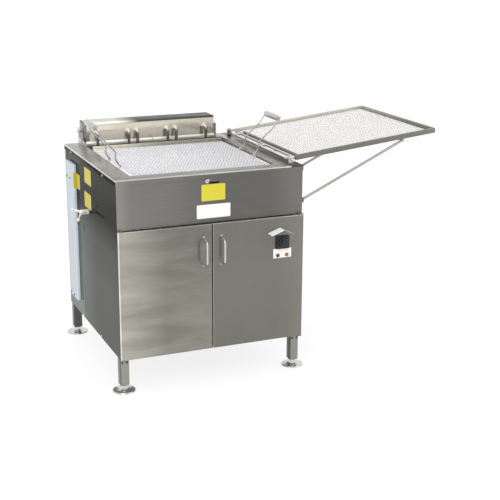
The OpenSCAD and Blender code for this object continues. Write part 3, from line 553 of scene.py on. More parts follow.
# Yellow plates: painted shade on the plates on the left side.
YELLOW_PLATE = Finish(
    "yellow plate", "yellow_plate", (0.66, 0.57, 0.03), 0.0, 0.45, NONE, 0.03, 0.15, 20.0, (0.9, 0.86, 0.6),
    bump=0.01, fades=(Fade(X, 40, 5, 0.84),),
)
WHITE_PLATE = Finish(
    "white plate", "white_plate", (0.86, 0.86, 0.85), 0.0, 0.42, NONE, 0.02, 0.12, 18.0, (0.9, 0.9, 0.9),
    bump=0.01,
)
DARK_PLASTIC = Finish("dark plastic", "dark_plastic", (0.010, 0.014, 0.016), 0.0, 0.42, NONE, 0.1, 0.3, 40.0)
RED_LENS = Finish(
    "red lens", "red_lens", (0.10, 0.004, 0.006), 0.0, 0.18, NONE, 0.05, 0.2, 60.0, bump=0.01, coat=0.6
)
AMBER_LENS = Finish(
    "amber lens", "amber_lens", (0.36, 0.12, 0.008), 0.0, 0.2, NONE, 0.05, 0.2, 60.0, bump=0.01, coat=0.6
)
PAD_RUBBER = Finish("pad rubber", "pad_rubber", (0.16, 0.16, 0.155), 0.0, 0.6, NONE, 0.2, 0.3, 60.0, bump=0.2)


def facing(origin: Vector, axis: Vector) -> Matrix:
    """Gives the matrix that takes +Z at the world's origin to an axis at a place."""
    return Matrix.Translation(origin) @ axis.to_track_quat("Z", "Y").to_matrix().to_4x4()


def edges_of(verts: Iterable[Vert]) -> list[Edge]:
    """Lists the edges that meet vertices, each once."""
    return list({e for v in verts for e in v.link_edges})


def put_in_scene(name: str, data: bpy.types.ID) -> bpy.types.Object:
    """Makes an object of a mesh, light or camera and links it to the scene."""
    made = bpy.data.objects.new(name, data)
    bpy.context.scene.collection.objects.link(made)
    return made


class Shape:
    """A mesh in the making, shaped by bmesh operators, in metres in the object's frame."""

    def __init__(self) -> None:
        """Starts an empty mesh."""
        self.bm = bmesh.new()

    def block(self, low: Vector, high: Vector, edge: float = 0.0, segments: int = 3) -> list[Vert]:
        """Adds a box with rounded edges.

        Args:
            low: lowest corner.
            high: highest corner.
            edge: radius of the edges.
            segments: facets across an edge.

        Returns:
            The box's vertices.
        """
        verts = bmesh.ops.create_cube(self.bm, size=1.0)["verts"]
        bmesh.ops.scale(self.bm, vec=high - low, verts=verts)
        bmesh.ops.translate(self.bm, vec=(low + high) / 2, verts=verts)
        if edge > 0:
            verts = self.round_edges(edges_of(verts), edge, segments)
        return verts

    def span(self, x: Pair, y: Pair, z: Pair, edge: float = 0.0, segments: int = 3) -> None:
        """Adds a box, as block does, between two places along each axis."""
        self.block(Vector((x[0], y[0], z[0])), Vector((x[1], y[1], z[1])), edge, segments)

    def round_edges(
        self, edges: Iterable[Edge], radius: float, segments: int = 3
    ) -> list[Vert]:
        """Rounds edges and returns the vertices that this makes."""
        made = bmesh.ops.bevel(
            self.bm, geom=list(edges), offset=radius, offset_type="OFFSET", affect="EDGES",
            segments=segments, profile=0.5, material=-1, clamp_overlap=True,
        )
        return made["verts"]

    def bar(self, start: Vector, end: Vector, diameter: float, edge: float = 0.0, sides: int = 32) -> None:
        """Adds a round bar.

        Args:
            start: middle of the first end.
            end: middle of the last end.
            diameter: diameter of the bar.
            edge: radius of the end edges.
            sides: facets around the bar.
        """
        run, radius = end - start, diameter / 2
        made = bmesh.ops.create_cone(
            self.bm, cap_ends=True, cap_tris=False, segments=sides, radius1=radius, radius2=radius,
            depth=run.length, matrix=facing((start + end) / 2, run),
        )
        if edge > 0:
            rims = [e for e in edges_of(made["verts"]) if any(len(f.verts) > 4 for f in e.link_faces)]
            self.round_edges(rims, edge, 2)

    def turned(self, profile: Profile, place: Matrix, sides: int = 40, unit: float = MM) -> None:
        """Adds a turned piece.

        Args:
            profile: radius and height along the axis, from one end of the axis to the other.
            place: matrix that takes the axis from +Z at the origin to its place.
            sides: facets around the axis.
            unit: size of the profile's unit.
        """
        verts = [self.bm.verts.new(place @ Vector((r * unit, 0, h * unit))) for r, h in profile]
        edges = [self.bm.edges.new(pair) for pair in zip(verts, verts[1:])]
        axis = (place.to_3x3() @ Vector((0, 0, 1))).normalized()
        bmesh.ops.spin(
            self.bm, geom=verts + edges, cent=place.translation, axis=axis, angle=math.tau,
            steps=sides, use_merge=True, use_duplicate=False,
        )

    def rod(
        self, points: Sequence[Vector], diameter: float, bend: float, sides: int = 14, steps: int = 6
    ) -> None:
        """Adds a round rod along points, with arcs at the corners.

        Args:
            points: the corners of its middle line.
            diameter: diameter of the rod.
            bend: radius of the middle line at a corner.
            sides: facets around the rod.
            steps: facets along a bend.
        """
        heading = (points[1] - points[0]).normalized()
        edges = self.ring(facing(points[0], heading), diameter, sides)
        at = points[0]
        for corner, after in zip(points[1:], list(points[2:]) + [None]):
            trim, following = 0.0, None
            if after is not None:
                following = (after - corner).normalized()
                angle = heading.angle(following)
                trim = bend * math.tan(angle / 2)
            stop = corner - heading * trim
            edges = self.draw_out(edges, stop - at)
            at = stop
            if following is not None:
                axis = heading.cross(following).normalized()
                centre = stop + axis.cross(heading) * bend
                geom = list({v for e in edges for v in e.verts}) + edges
                last = bmesh.ops.spin(
                    self.bm, geom=geom, cent=centre, axis=axis, angle=angle, steps=steps, use_duplicate=False
                )["geom_last"]
                edges = [g for g in last if isinstance(g, Edge)]
                at = corner + following * trim
                heading = following
        bmesh.ops.edgeloop_fill(self.bm, edges=edges)

    def ring(self, place: Matrix, diameter: float, sides: int) -> list[Edge]:
        """Adds a filled ring around the Z axis of a place and returns its edges."""
        made = bmesh.ops.create_circle(self.bm, cap_ends=True, segments=sides, radius=diameter / 2, matrix=place)
        return edges_of(made["verts"])

    def draw_out(self, edges: list[Edge], move: Vector) -> list[Edge]:
        """Extrudes a loop of edges by a move and returns the new loop."""
        made = bmesh.ops.extrude_edge_only(self.bm, edges=edges)["geom"]
        verts = [g for g in made if isinstance(g, Vert)]
        bmesh.ops.translate(self.bm, vec=move, verts=verts)
        fresh = set(verts)
        return [g for g in made if isinstance(g, Edge) and set(g.verts) <= fresh]

    def ball(self, centre: Vector, diameter: float, sides: int = 24) -> None:
        """Adds a ball."""
        place = Matrix.Translation(centre)
        bmesh.ops.create_uvsphere(
            self.bm, u_segments=sides, v_segments=sides // 2, radius=diameter / 2, matrix=place
        )

    def rectangle(self, low: Vector, high: Vector) -> list[Edge]:
        """Adds a level rectangle of edges between two corners and returns them."""
        corners = [(low.x, low.y), (high.x, low.y), (high.x, high.y), (low.x, high.y)]
        verts = [self.bm.verts.new((x, y, high.z)) for x, y in corners]
        return [self.bm.edges.new((verts[i], verts[(i + 1) % 4])) for i in range(4)]

    def face_towards(self, direction: Vector) -> bmesh.types.BMFace:
        """Finds the largest face that looks in a direction."""
        self.bm.normal_update()
        looking = [f for f in self.bm.faces if f.normal.dot(direction) > 0.99]
        return max(looking, key=lambda f: f.calc_area())

    def add_mesh(self, mesh: bpy.types.Mesh, place: Matrix) -> None:
        """Adds a copy of a mesh, moved by a matrix."""
        copy = mesh.copy()
        copy.transform(place)
        self.bm.from_mesh(copy)
        bpy.data.meshes.remove(copy)

    def to_mesh(self, name: str, outward: bool = True) -> bpy.types.Mesh:
        """Ends the making and returns the mesh.

        Args:
            name: name of the mesh.
            outward: whether the faces are turned outwards first.

        Returns:
            The mesh, smooth except at its sharp edges.
        """
        if outward:
            bmesh.ops.recalc_face_normals(self.bm, faces=self.bm.faces)
        mesh = bpy.data.meshes.new(name)
        self.bm.to_mesh(mesh)
        self.bm.free()
        mesh.polygons.foreach_set("use_smooth", [True] * len(mesh.polygons))
        mesh.set_sharp_from_angle(angle=SMOOTH_ANGLE)
        return mesh


@dataclass
class SubAssembly:
    """A group of pieces.

    Attributes:
        nodes: the frame's solids, by name.
        corner: the cabinet's front left corner on the floor.
        effects: the shared node groups.
    """

    nodes: dict[str, bpy.types.Object]
    corner: Vector
    effects: Effects

    def build(self) -> None:
        """Builds every piece of the group."""
        raise NotImplementedError

    def at(self, x: float, y: float, z: float) -> Vector:
        """Gives a place by millimetres from the cabinet's front left corner on the floor."""
        return self.corner + Vector((x, y, z)) * MM

    def piece(
        self, name: str, shape: Shape, finish: Finish, body: str, *stands_for: str, outward: bool = True
    ) -> bpy.types.Object:
        """Turns a shape into a piece that rides on a body.

        Args:
            name: name of the piece.
            shape: its mesh in the making.
            finish: its surface.
            body: the body that it moves with.
            stands_for: solids that it is shown in place of.
            outward: whether its faces are turned outwards first.

        Returns:
            The new object.
        """
        made = put_in_scene(name, shape.to_mesh(name, outward))
        made.data.materials.append(finish.material(self.effects))
        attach(made, body)
        if stands_for:
            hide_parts(*stands_for)
        LOG.info("%s: %d faces on %s", name, len(made.data.polygons), body)
        return made

    def slab(
        self, name: str, low: Vector, high: Vector, edge: float, finish: Finish, body: str, *stands_for: str,
        segments: int = 3
    ) -> None:
        """Builds a piece that is one box with rounded edges.

        Args:
            name: name of the piece.
            low: its lowest corner.
            high: its highest corner.
            edge: radius of its edges in millimetres.
            finish: its surface.
            body: the body that it moves with.
            stands_for: solids that it is shown in place of.
            segments: facets across an edge.
        """
        shape = Shape()
        shape.block(low, high, edge * MM, segments)
        self.piece(name, shape, finish, body, *stands_for)

    def dress(self, finish: Finish, *names: str) -> None:
        """Gives solids that stay in view a finish."""
        for name in names:
            materials = self.nodes[name].data.materials
            materials.clear()
            materials.append(finish.material(self.effects))
            LOG.info("%s: dressed with %s", name, finish.name)


@dataclass
class Casing(SubAssembly):
    """The fixed cabinet: sheets, deck, legs, feet, plates, cover and screws, in millimetres."""

    sheet: float = 2.0
    deck_round: float = 3.0
    leg_round: float = 4.0
    plate_round: float = 4.0
    screw_width: float = 10.0

    def build(self) -> None:
        """Builds and dresses every piece of the casing."""
        self.deck()
        self.sheets()
        self.legs_and_feet()
        self.plates()
        self.wire_cover()
        self.screws()
        self.apron_hook()
        self.inside()

    def deck(self) -> None:
        """Builds the deck as a ring of sheet with a rolled edge, and its four skirts."""
        low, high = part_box("top_deck")
        inner_low, inner_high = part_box("kettle")
        wall = Vector((self.sheet, self.sheet, 0)) * MM
        shape = Shape()
        outer = shape.rectangle(low, high)
        hole_high = Vector((inner_high.x, inner_high.y, high.z)) - wall
        inner = shape.rectangle(inner_low + wall, hole_high)
        bmesh.ops.bridge_loops(shape.bm, edges=outer + inner)
        drop = 2 * self.deck_round * MM
        shape.draw_out(outer, Vector((0, 0, -drop)))
        shape.draw_out(inner, Vector((0, 0, -1.6 * MM)))
        corners = [e for e in shape.bm.edges if abs(e.verts[0].co.z - e.verts[1].co.z) > 4 * MM]
        shape.round_edges(outer + corners, self.deck_round * MM)
        bmesh.ops.recalc_face_normals(shape.bm, faces=shape.bm.faces)
        bmesh.ops.solidify(shape.bm, geom=shape.bm.faces[:], thickness=SHEET_THICKNESS)
        self.piece("deck_sheet", shape, DECK_STEEL, "cabinet", "top_deck")
        turn, thick = self.deck_round * MM, SHEET_THICKNESS
        sides = {
            "front": (low.x + turn, low.y, high.x - turn, low.y + thick, APRON_STEEL),
            "rear": (low.x + turn, high.y - thick, high.x - turn, high.y, BACK_STEEL),
            "left": (low.x, low.y + turn, low.x + thick, high.y - turn, SIDE_SKIRT),
            "right": (high.x - thick, low.y + turn, high.x, high.y - turn, BACK_STEEL),
        }
        for side, (x0, y0, x1, y1, finish) in sides.items():
            near, far = Vector((x0, y0, low.z)), Vector((x1, y1, high.z - drop))
            self.slab(f"{side}_skirt", near, far, 0.5, finish, "cabinet", segments=2)

    def sheets(self) -> None:
        """Dresses the flat panels."""
        self.dress(APRON_STEEL, "front_apron")
        self.dress(SIDE_STEEL, "left_panel")
        self.dress(BACK_STEEL, "right_panel", "back_panel", "cabinet_floor")

    def legs_and_feet(self) -> None:
        """Builds the square legs and the turned feet."""
        legs = {
            "leg_front_left": LEG_STEEL, "leg_front_right": RIGHT_LEG_STEEL,
            "leg_rear_left": REAR_LEG_STEEL, "leg_rear_right": REAR_LEG_STEEL,
        }
        for name, finish in legs.items():
            self.slab(name + "_tube", *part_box(name), self.leg_round, finish, "cabinet", name)
        profile = [
            (0, 0), (47, 0), (50, 1.5), (50, 4.5), (48, 7), (40, 8.5), (26, 10.5), (19, 14),
            (16.5, 20), (16, 25), (18, 26), (18, 29.5), (8, 29.8), (0, 29.8),
        ]
        shape = Shape()
        for name in legs:
            middle = sum(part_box(name), Vector()) / 2
            centre = Vector((middle.x, middle.y, 0))
            shape.turned(profile, Matrix.Translation(centre), 56)
        self.piece("turned_feet", shape, BRIGHT_METAL, "cabinet", "levelling_feet")

    def plates(self) -> None:
        """Builds the blank plates with round corners and a raised rim."""
        for name, finish in (("caution_plate", YELLOW_PLATE), ("maker_plate", WHITE_PLATE)):
            shape = Shape()
            low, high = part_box(name)
            self.plate(shape, low, high, FRONT)
            self.piece(name + "_sheet", shape, finish, "cabinet", name)
        shape = Shape()
        for y, z, width in ((602, 800, 58), (433, 859, 108), (442, 748, 108)):
            low = self.at(-0.8, y - width / 2, z - 35)
            high = self.at(0, y + width / 2, z + 35)
            self.plate(shape, low, high, LEFT)
        shape.block(self.at(-15.2, 632.2, 765), self.at(-0.2, 632.8, 835))
        self.piece("side_plate_sheets", shape, YELLOW_PLATE, "cabinet", "side_plates")

    def plate(self, shape: Shape, low: Vector, high: Vector, outward: Vector) -> None:
        """Adds one blank plate.

        Args:
            shape: mesh that takes it.
            low: its lowest corner.
            high: its highest corner.
            outward: the way that its face looks.
        """
        corners = shape.block(low, high)
        short = [e for e in edges_of(corners) if e.calc_length() < 2 * MM]
        shape.round_edges(short, self.plate_round * MM, 4)
        shape.bm.normal_update()
        faces = [f for f in shape.bm.faces if f.normal.dot(outward) > 0.99]
        face = min(faces, key=lambda f: (f.calc_center_median() - (low + high) / 2).length)
        bmesh.ops.inset_region(shape.bm, faces=[face], thickness=2.0 * MM, depth=-0.2 * MM)

    def wire_cover(self) -> None:
        """Builds the long folded cover on the left side."""
        self.slab("folded_wire_cover", *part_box("wire_cover"), 2.5, COVER_PAINT, "cabinet", "wire_cover")

    def screws(self) -> None:
        """Builds the bright screws of the casing, and the dark ones of the cover and the leg tops."""
        places = []
        for y_places, over, z in (((180, 704), 3.5, 917), ((287, 586), 0, 163)):
            for x, outward in ((-over, LEFT), (840 + over, RIGHT)):
                places += [(self.at(x, y, z), outward) for y in y_places]
        places += [(self.at(x, 830, z), BACK) for x in (60, 420, 780) for z in (175, 873)]
        self.screw_set("domed_screws", places, BRIGHT_METAL, "casing_screws")
        dark = [(self.at(-16, y, z), LEFT) for y in (688, 747) for z in (233, 801)]
        dark += [(self.at(x, 8, 136), FRONT) for x in (11, 32, 808, 829)]
        self.screw_set("dark_screws", dark, SCREW_METAL)

    def screw_set(self, name: str, places: list[tuple[Vector, Vector]], finish: Finish, *stands_for: str) -> None:
        """Builds a set of domed screws.

        Args:
            name: name of the piece.
            places: seat and outward axis of every screw.
            finish: their surface.
            stands_for: solids that they are shown in place of.
        """
        shape = Shape()
        rings = ((0, 0), (1, 0), (1, 0.7), (0.9, 1.6), (0.6, 2.5), (0.25, 2.9), (0.2, 2.2), (0, 2.0))
        dome = [(self.screw_width / 2 * share, height) for share, height in rings]
        for place, axis in places:
            shape.turned(dome, facing(place, axis), 20)
        self.piece(name, shape, finish, "cabinet", *stands_for)

    def apron_hook(self) -> None:
        """Builds the hook over the slot in the apron."""
        shape = Shape()
        base = [(0, 0), (9, 0), (9, 1.2), (8, 2.2), (4, 2.8), (0, 2.8)]
        middle = self.at(398, 0, 897)
        shape.turned(base, facing(middle, FRONT), 28)
        path = [self.at(398, y, z) for y, z in ((-1, 897), (-16, 897), (-16, 911))]
        shape.rod(path, 6 * MM, 6 * MM)
        self.piece("apron_peg", shape, BRIGHT_METAL, "cabinet", "apron_hook")

    def inside(self) -> None:
        """Dresses the solids inside and behind the cabinet."""
        self.dress(KETTLE_STEEL, "kettle", "kettle_floor")
        self.dress(PIPE_STEEL, "drain_pipe", "door_pivots")
        self.dress(BRASS, "drain_valve")
        self.dress(BACK_STEEL, "control_box")
        self.dress(DARK_PLASTIC, "contactors", "cable_gland")
        self.dress(BRACKET_STEEL, "head_brackets")


@dataclass
class DrainValve(SubAssembly):
    """The valve's handle on the left side, in millimetres.

    Attributes:
        arm: distance of a ball from the stem's axis.
        reach: how far the arms lean out.
        root: place of the arms along X.
        axis: place of the stem along Y and Z.
    """

    arm: float = 50.0
    reach: float = 26.0
    root: float = -31.0
    axis: Pair = (441.0, 698.0)

    def build(self) -> None:
        """Builds the gland on the panel, the hub, the stem and two ball-ended arms that lean outwards."""
        shape = Shape()
        boss = [(6.05, 0), (12, 0), (12, 5), (11, 6), (6.05, 6), (6.05, 0)]
        side = facing(self.at(0, *self.axis), LEFT)
        shape.turned(boss, side)
        self.piece("gland_boss", shape, POLISHED_METAL, "cabinet", "stem_gland")
        shape = Shape()
        start = self.at(-38, *self.axis)
        shape.bar(start, self.at(86, *self.axis), 12 * MM, 1 * MM)
        rim = [(0, 0), (9, 0), (11.3, 1.6), (12, 4), (12, 25), (11, 28), (9, 30), (0, 30)]
        shape.turned(rim, facing(start, RIGHT))
        for angle in (6, 204):
            turn = math.radians(angle)
            run = Vector((-self.reach, self.arm * math.cos(turn), self.arm * math.sin(turn)))
            neck = [(6.2, 0), (5.6, 16), (4.4, 32), (3.8, 44), (4.2, 49), (0, 50)]
            foot = self.at(self.root, *self.axis)
            shape.turned(neck, facing(foot, run), 20)
            shape.ball(foot + run * MM, 16 * MM)
        self.piece("tee_handle", shape, POLISHED_METAL, "valve", "valve_handle")


@dataclass
class Doors(SubAssembly):
    """The two doors with their handles, and the thermostat and lamps on the right one, in millimetres.

    Attributes:
        front: place of the doors' faces along Y.
        reach: how far the handles stand off them.
        hood_ridge: place of the hood's ridge along X.
    """

    front: float = -21.0
    reach: float = 40.5
    hood_ridge: float = 727.0

    def build(self) -> None:
        """Builds both doors and what they carry."""
        for side, x in (("left", 374.0), ("right", 454.0)):
            self.pan(side)
            self.handle(side, x)
        self.hood()
        self.thermostat()
        self.lamps()

    def pan(self, side: str) -> None:
        """Builds a door as a folded pan, hollow behind."""
        low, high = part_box(f"{side}_door_panel")
        shape = Shape()
        shape.block(low, high, 1.8 * MM)
        back = shape.face_towards(BACK)
        bmesh.ops.inset_region(shape.bm, faces=[back], thickness=3 * MM, use_even_offset=True)
        bmesh.ops.translate(shape.bm, vec=Vector((0, -15.5 * MM, 0)), verts=back.verts[:])
        finish = LEFT_DOOR_STEEL if side == "left" else RIGHT_DOOR_STEEL
        self.piece(f"{side}_door_pan", shape, finish, f"{side}_door", f"{side}_door_panel")

    def handle(self, side: str, x: float) -> None:
        """Builds a bow handle with round feet."""
        shape = Shape()
        out = self.front - self.reach
        corners = ((self.front + 1, 660.4), (out, 643), (out, 553), (self.front + 1, 535.6))
        shape.rod([self.at(x, y, z) for y, z in corners], 9 * MM, 14 * MM, 20, 10)
        foot = [(0, 0), (6.0, 0), (6.0, 0.8), (5.4, 1.6), (4.6, 2.0), (0, 2.0)]
        for z in (660, 536):
            place = facing(self.at(x, self.front, z), FRONT)
            shape.turned(foot, place, 28)
        self.piece(f"{side}_bow_handle", shape, BRIGHT_METAL, f"{side}_door", f"{side}_door_handle")

    def hood(self) -> None:
        """Builds the folded gable hood over the thermostat."""
        low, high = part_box("controller_hood")
        eaves = low.z + SHEET_THICKNESS
        line = [(low.x, eaves), (self.at(self.hood_ridge, 0, 0).x, high.z), (high.x, eaves)]
        shape = Shape()
        verts = [shape.bm.verts.new((x, high.y, z)) for x, z in line]
        edges = [shape.bm.edges.new(pair) for pair in zip(verts, verts[1:])]
        shape.draw_out(edges, Vector((0, low.y - high.y, 0)))
        bmesh.ops.recalc_face_normals(shape.bm, faces=shape.bm.faces)
        if sum(f.normal.z for f in shape.bm.faces) < 0:
            bmesh.ops.reverse_faces(shape.bm, faces=shape.bm.faces)
        bmesh.ops.solidify(shape.bm, geom=shape.bm.faces[:], thickness=SHEET_THICKNESS)
        self.piece("gable_hood", shape, HOOD_STEEL, "right_door", "controller_hood")

    def thermostat(self) -> None:
        """Builds the thermostat's case, with a bezel, and its dial."""
        low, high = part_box("controller_case")
        shape = Shape()
        shape.block(low, high, 2.0 * MM)
        face = shape.face_towards(FRONT)
        bmesh.ops.inset_region(shape.bm, faces=[face], thickness=4 * MM, depth=-1.0 * MM)
        self.piece("thermostat_case", shape, DARK_PLASTIC, "right_door", "controller_case")
        shape = Shape()
        middle = sum(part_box("control_dial"), Vector()) / 2
        back = Vector((middle.x, self.at(0, -33.5, 0).y, middle.z))
        knob = [(0, 0), (22, 0), (22, 1.5), (21, 4), (18, 5), (15, 5.6), (14.2, 12), (13, 14), (0, 14)]
        shape.turned(knob, facing(back, FRONT), 48)
        ridge = Vector((1.2, 0, 13)) * MM
        shape.block(back - ridge - Vector((0, 14.0 * MM, 0)), back + ridge - Vector((0, 9 * MM, 0)), 0.5 * MM, 2)
        self.piece("turning_dial", shape, DARK_PLASTIC, "dial", "control_dial")

    def lamps(self) -> None:
        """Builds the indicator plate and its two lamps."""
        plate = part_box("indicator_plate")
        self.slab("lamp_plate", *plate, 0.6, WHITE_PLATE, "right_door", "indicator_plate", segments=2)
        lens = [(0, 0), (8.5, 0), (8.5, 2.4), (7.4, 3.2), (7.0, 4.4), (5.6, 6.4), (3, 7.6), (0, 8)]
        for name, finish in (("red_lamp", RED_LENS), ("amber_lamp", AMBER_LENS)):
            low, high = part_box(name)
            middle = (low + high) / 2
            shape = Shape()
            place = facing(Vector((middle.x, high.y, middle.z)), FRONT)
            shape.turned(lens, place, 32)
            self.piece(name + "_lens", shape, finish, "right_door", name)


@dataclass
class ElementHead(SubAssembly):
    """The tilting terminal box with its cover, tube bushes and pins."""

    corner_round: float = 8.0

    def build(self) -> None:
        """Builds the box, the cover and the bushes, and dresses the tubes."""
        self.box_and_cover()
        self.bushes()
        self.dress(HEATER_TUBE, "element_left", "element_middle", "element_right")
        self.dress(BRASS, "thermostat_bulb")
        self.dress(BRIGHT_METAL, "head_pins")

    def box_and_cover(self) -> None:
        """Builds the box with its lip, and the lid with a rounded front."""
        low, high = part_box("head_box")
        cover_low, cover_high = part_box("head_cover")
        lip = low.y + 6 * MM
        self.slab("terminal_box", Vector((low.x, lip, low.z)), high, 1.2, HEAD_STEEL, "head", "head_box")
        shape = Shape()
        shape.block(low, Vector((high.x, lip + 4 * MM, low.z + 2 * MM)), 0.6 * MM, 2)
        crest = low.z + 9 * MM
        strip = shape.block(low, Vector((high.x, lip, crest)))
        edge = [v for v in strip if v.co.y < low.y + 1 * MM and v.co.z > crest - 1 * MM]
        bmesh.ops.translate(shape.bm, vec=Vector((0, 5 * MM, 0)), verts=edge)
        self.piece("box_lip", shape, LIP_STEEL, "head")
        shape = Shape()
        shape.block(Vector((cover_low.x, cover_low.y, high.z)), cover_high)
        edges = [
            e for e in shape.bm.edges
            if all(v.co.z > high.z + 1e-6 for v in e.verts) and (e.verts[0].co - e.verts[1].co).x != 0
        ]
        shape.round_edges(edges, self.corner_round * 0.98 * MM, 6)
        ends = [
            e for e in shape.bm.edges
            if abs(e.verts[0].co.x - e.verts[1].co.x) < 1e-6
            and all(min(abs(v.co.x - cover_low.x), abs(v.co.x - cover_high.x)) < 1e-6 for v in e.verts)
        ]
        shape.round_edges(ends, 1.2 * MM, 2)
        self.piece("terminal_cover", shape, LID_STEEL, "head", "head_cover")
        rear = Vector((cover_low.x, cover_high.y - 2 * MM, cover_low.z))
        top = Vector((cover_high.x, cover_high.y, high.z))
        self.slab("cover_back", rear, top, 0.6, BACK_STEEL, "head", segments=2)

    def bushes(self) -> None:
        """Builds a washer and a hexagon nut around every tube end."""
        shape = Shape()
        low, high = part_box("element_bushes")
        z = (low.z + high.z) / 2
        washer = [(7.05, 0), (13, 0), (13, 1.2), (12.2, 2), (7.05, 2), (7.05, 0)]
        collar = [(7.05, 2), (11, 2), (11, 7.2), (10, 8), (7.05, 8), (7.05, 2)]
        for middle in (202.5, 395.0, 587.5):
            for side in (-75, 75):
                place = facing(Vector((self.at(middle + side, 0, 0).x, high.y, z)), FRONT)
                shape.turned(washer, place, 32)
                shape.turned(collar, place, 6)
        self.piece("tube_nuts", shape, BUSH_METAL, "head", "element_bushes")


@dataclass
class WovenNet:
    """A square net of woven wire.

    Attributes:
        width: size along X in metres.
        depth: size along Y in metres.
        pitch: distance between wires in metres.
        wire: diameter of the wire in metres.
        sides: facets around a wire.
    """

    width: float
    depth: float
    pitch: float = 0.010
    wire: float = 0.0026
    sides: int = 5

    def wire_mesh(self, crossings: int, pitch: float, lift: float, name: str) -> bpy.types.Mesh:
        """Builds one wire along X that goes over and under at every crossing.

        Args:
            crossings: number of crossing wires.
            pitch: distance between them.
            lift: height of the first crossing over the net's middle.
            name: name of the mesh.

        Returns:
            The wire's mesh, with its first crossing at the origin.
        """
        shape = Shape()
        edges = shape.ring(facing(Vector((-pitch / 2, 0, 0)), RIGHT), self.wire, self.sides)
        edges = shape.draw_out(edges, Vector((pitch / 2, 0, lift)))
        for step in range(1, crossings):
            edges = shape.draw_out(edges, Vector((pitch, 0, 2 * lift * (-1 if step % 2 else 1))))
        last = -lift if crossings % 2 else lift
        edges = shape.draw_out(edges, Vector((pitch / 2, 0, last)))
        bmesh.ops.edgeloop_fill(shape.bm, edges=edges)
        return shape.to_mesh(name)

    def weave(self, shape: Shape, place: Matrix) -> None:
        """Adds the whole net to a shape.

        Args:
            shape: mesh that takes the wires.
            place: matrix from the net's corner to its place.
        """
        across = max(2, round(self.width / self.pitch))
        along = max(2, round(self.depth / self.pitch))
        step_x, step_y = self.width / across, self.depth / along
        lift = self.wire / 2
        quarter = Matrix.Rotation(math.radians(90), 4, "Z")
        for start in (0, 1):
            sign = 1 if start == 0 else -1
            warp = self.wire_mesh(across, step_x, sign * lift, "warp")
            weft = self.wire_mesh(along, step_y, -sign * lift, "weft")
            for row in range(start, along, 2):
                shape.add_mesh(warp, place @ Matrix.Translation((step_x / 2, (row + 0.5) * step_y, 0)))
            for column in range(start, across, 2):
                move = Matrix.Translation(((column + 0.5) * step_x, step_y / 2, 0))
                shape.add_mesh(weft, place @ move @ quarter)
            bpy.data.meshes.remove(warp)
            bpy.data.meshes.remove(weft)


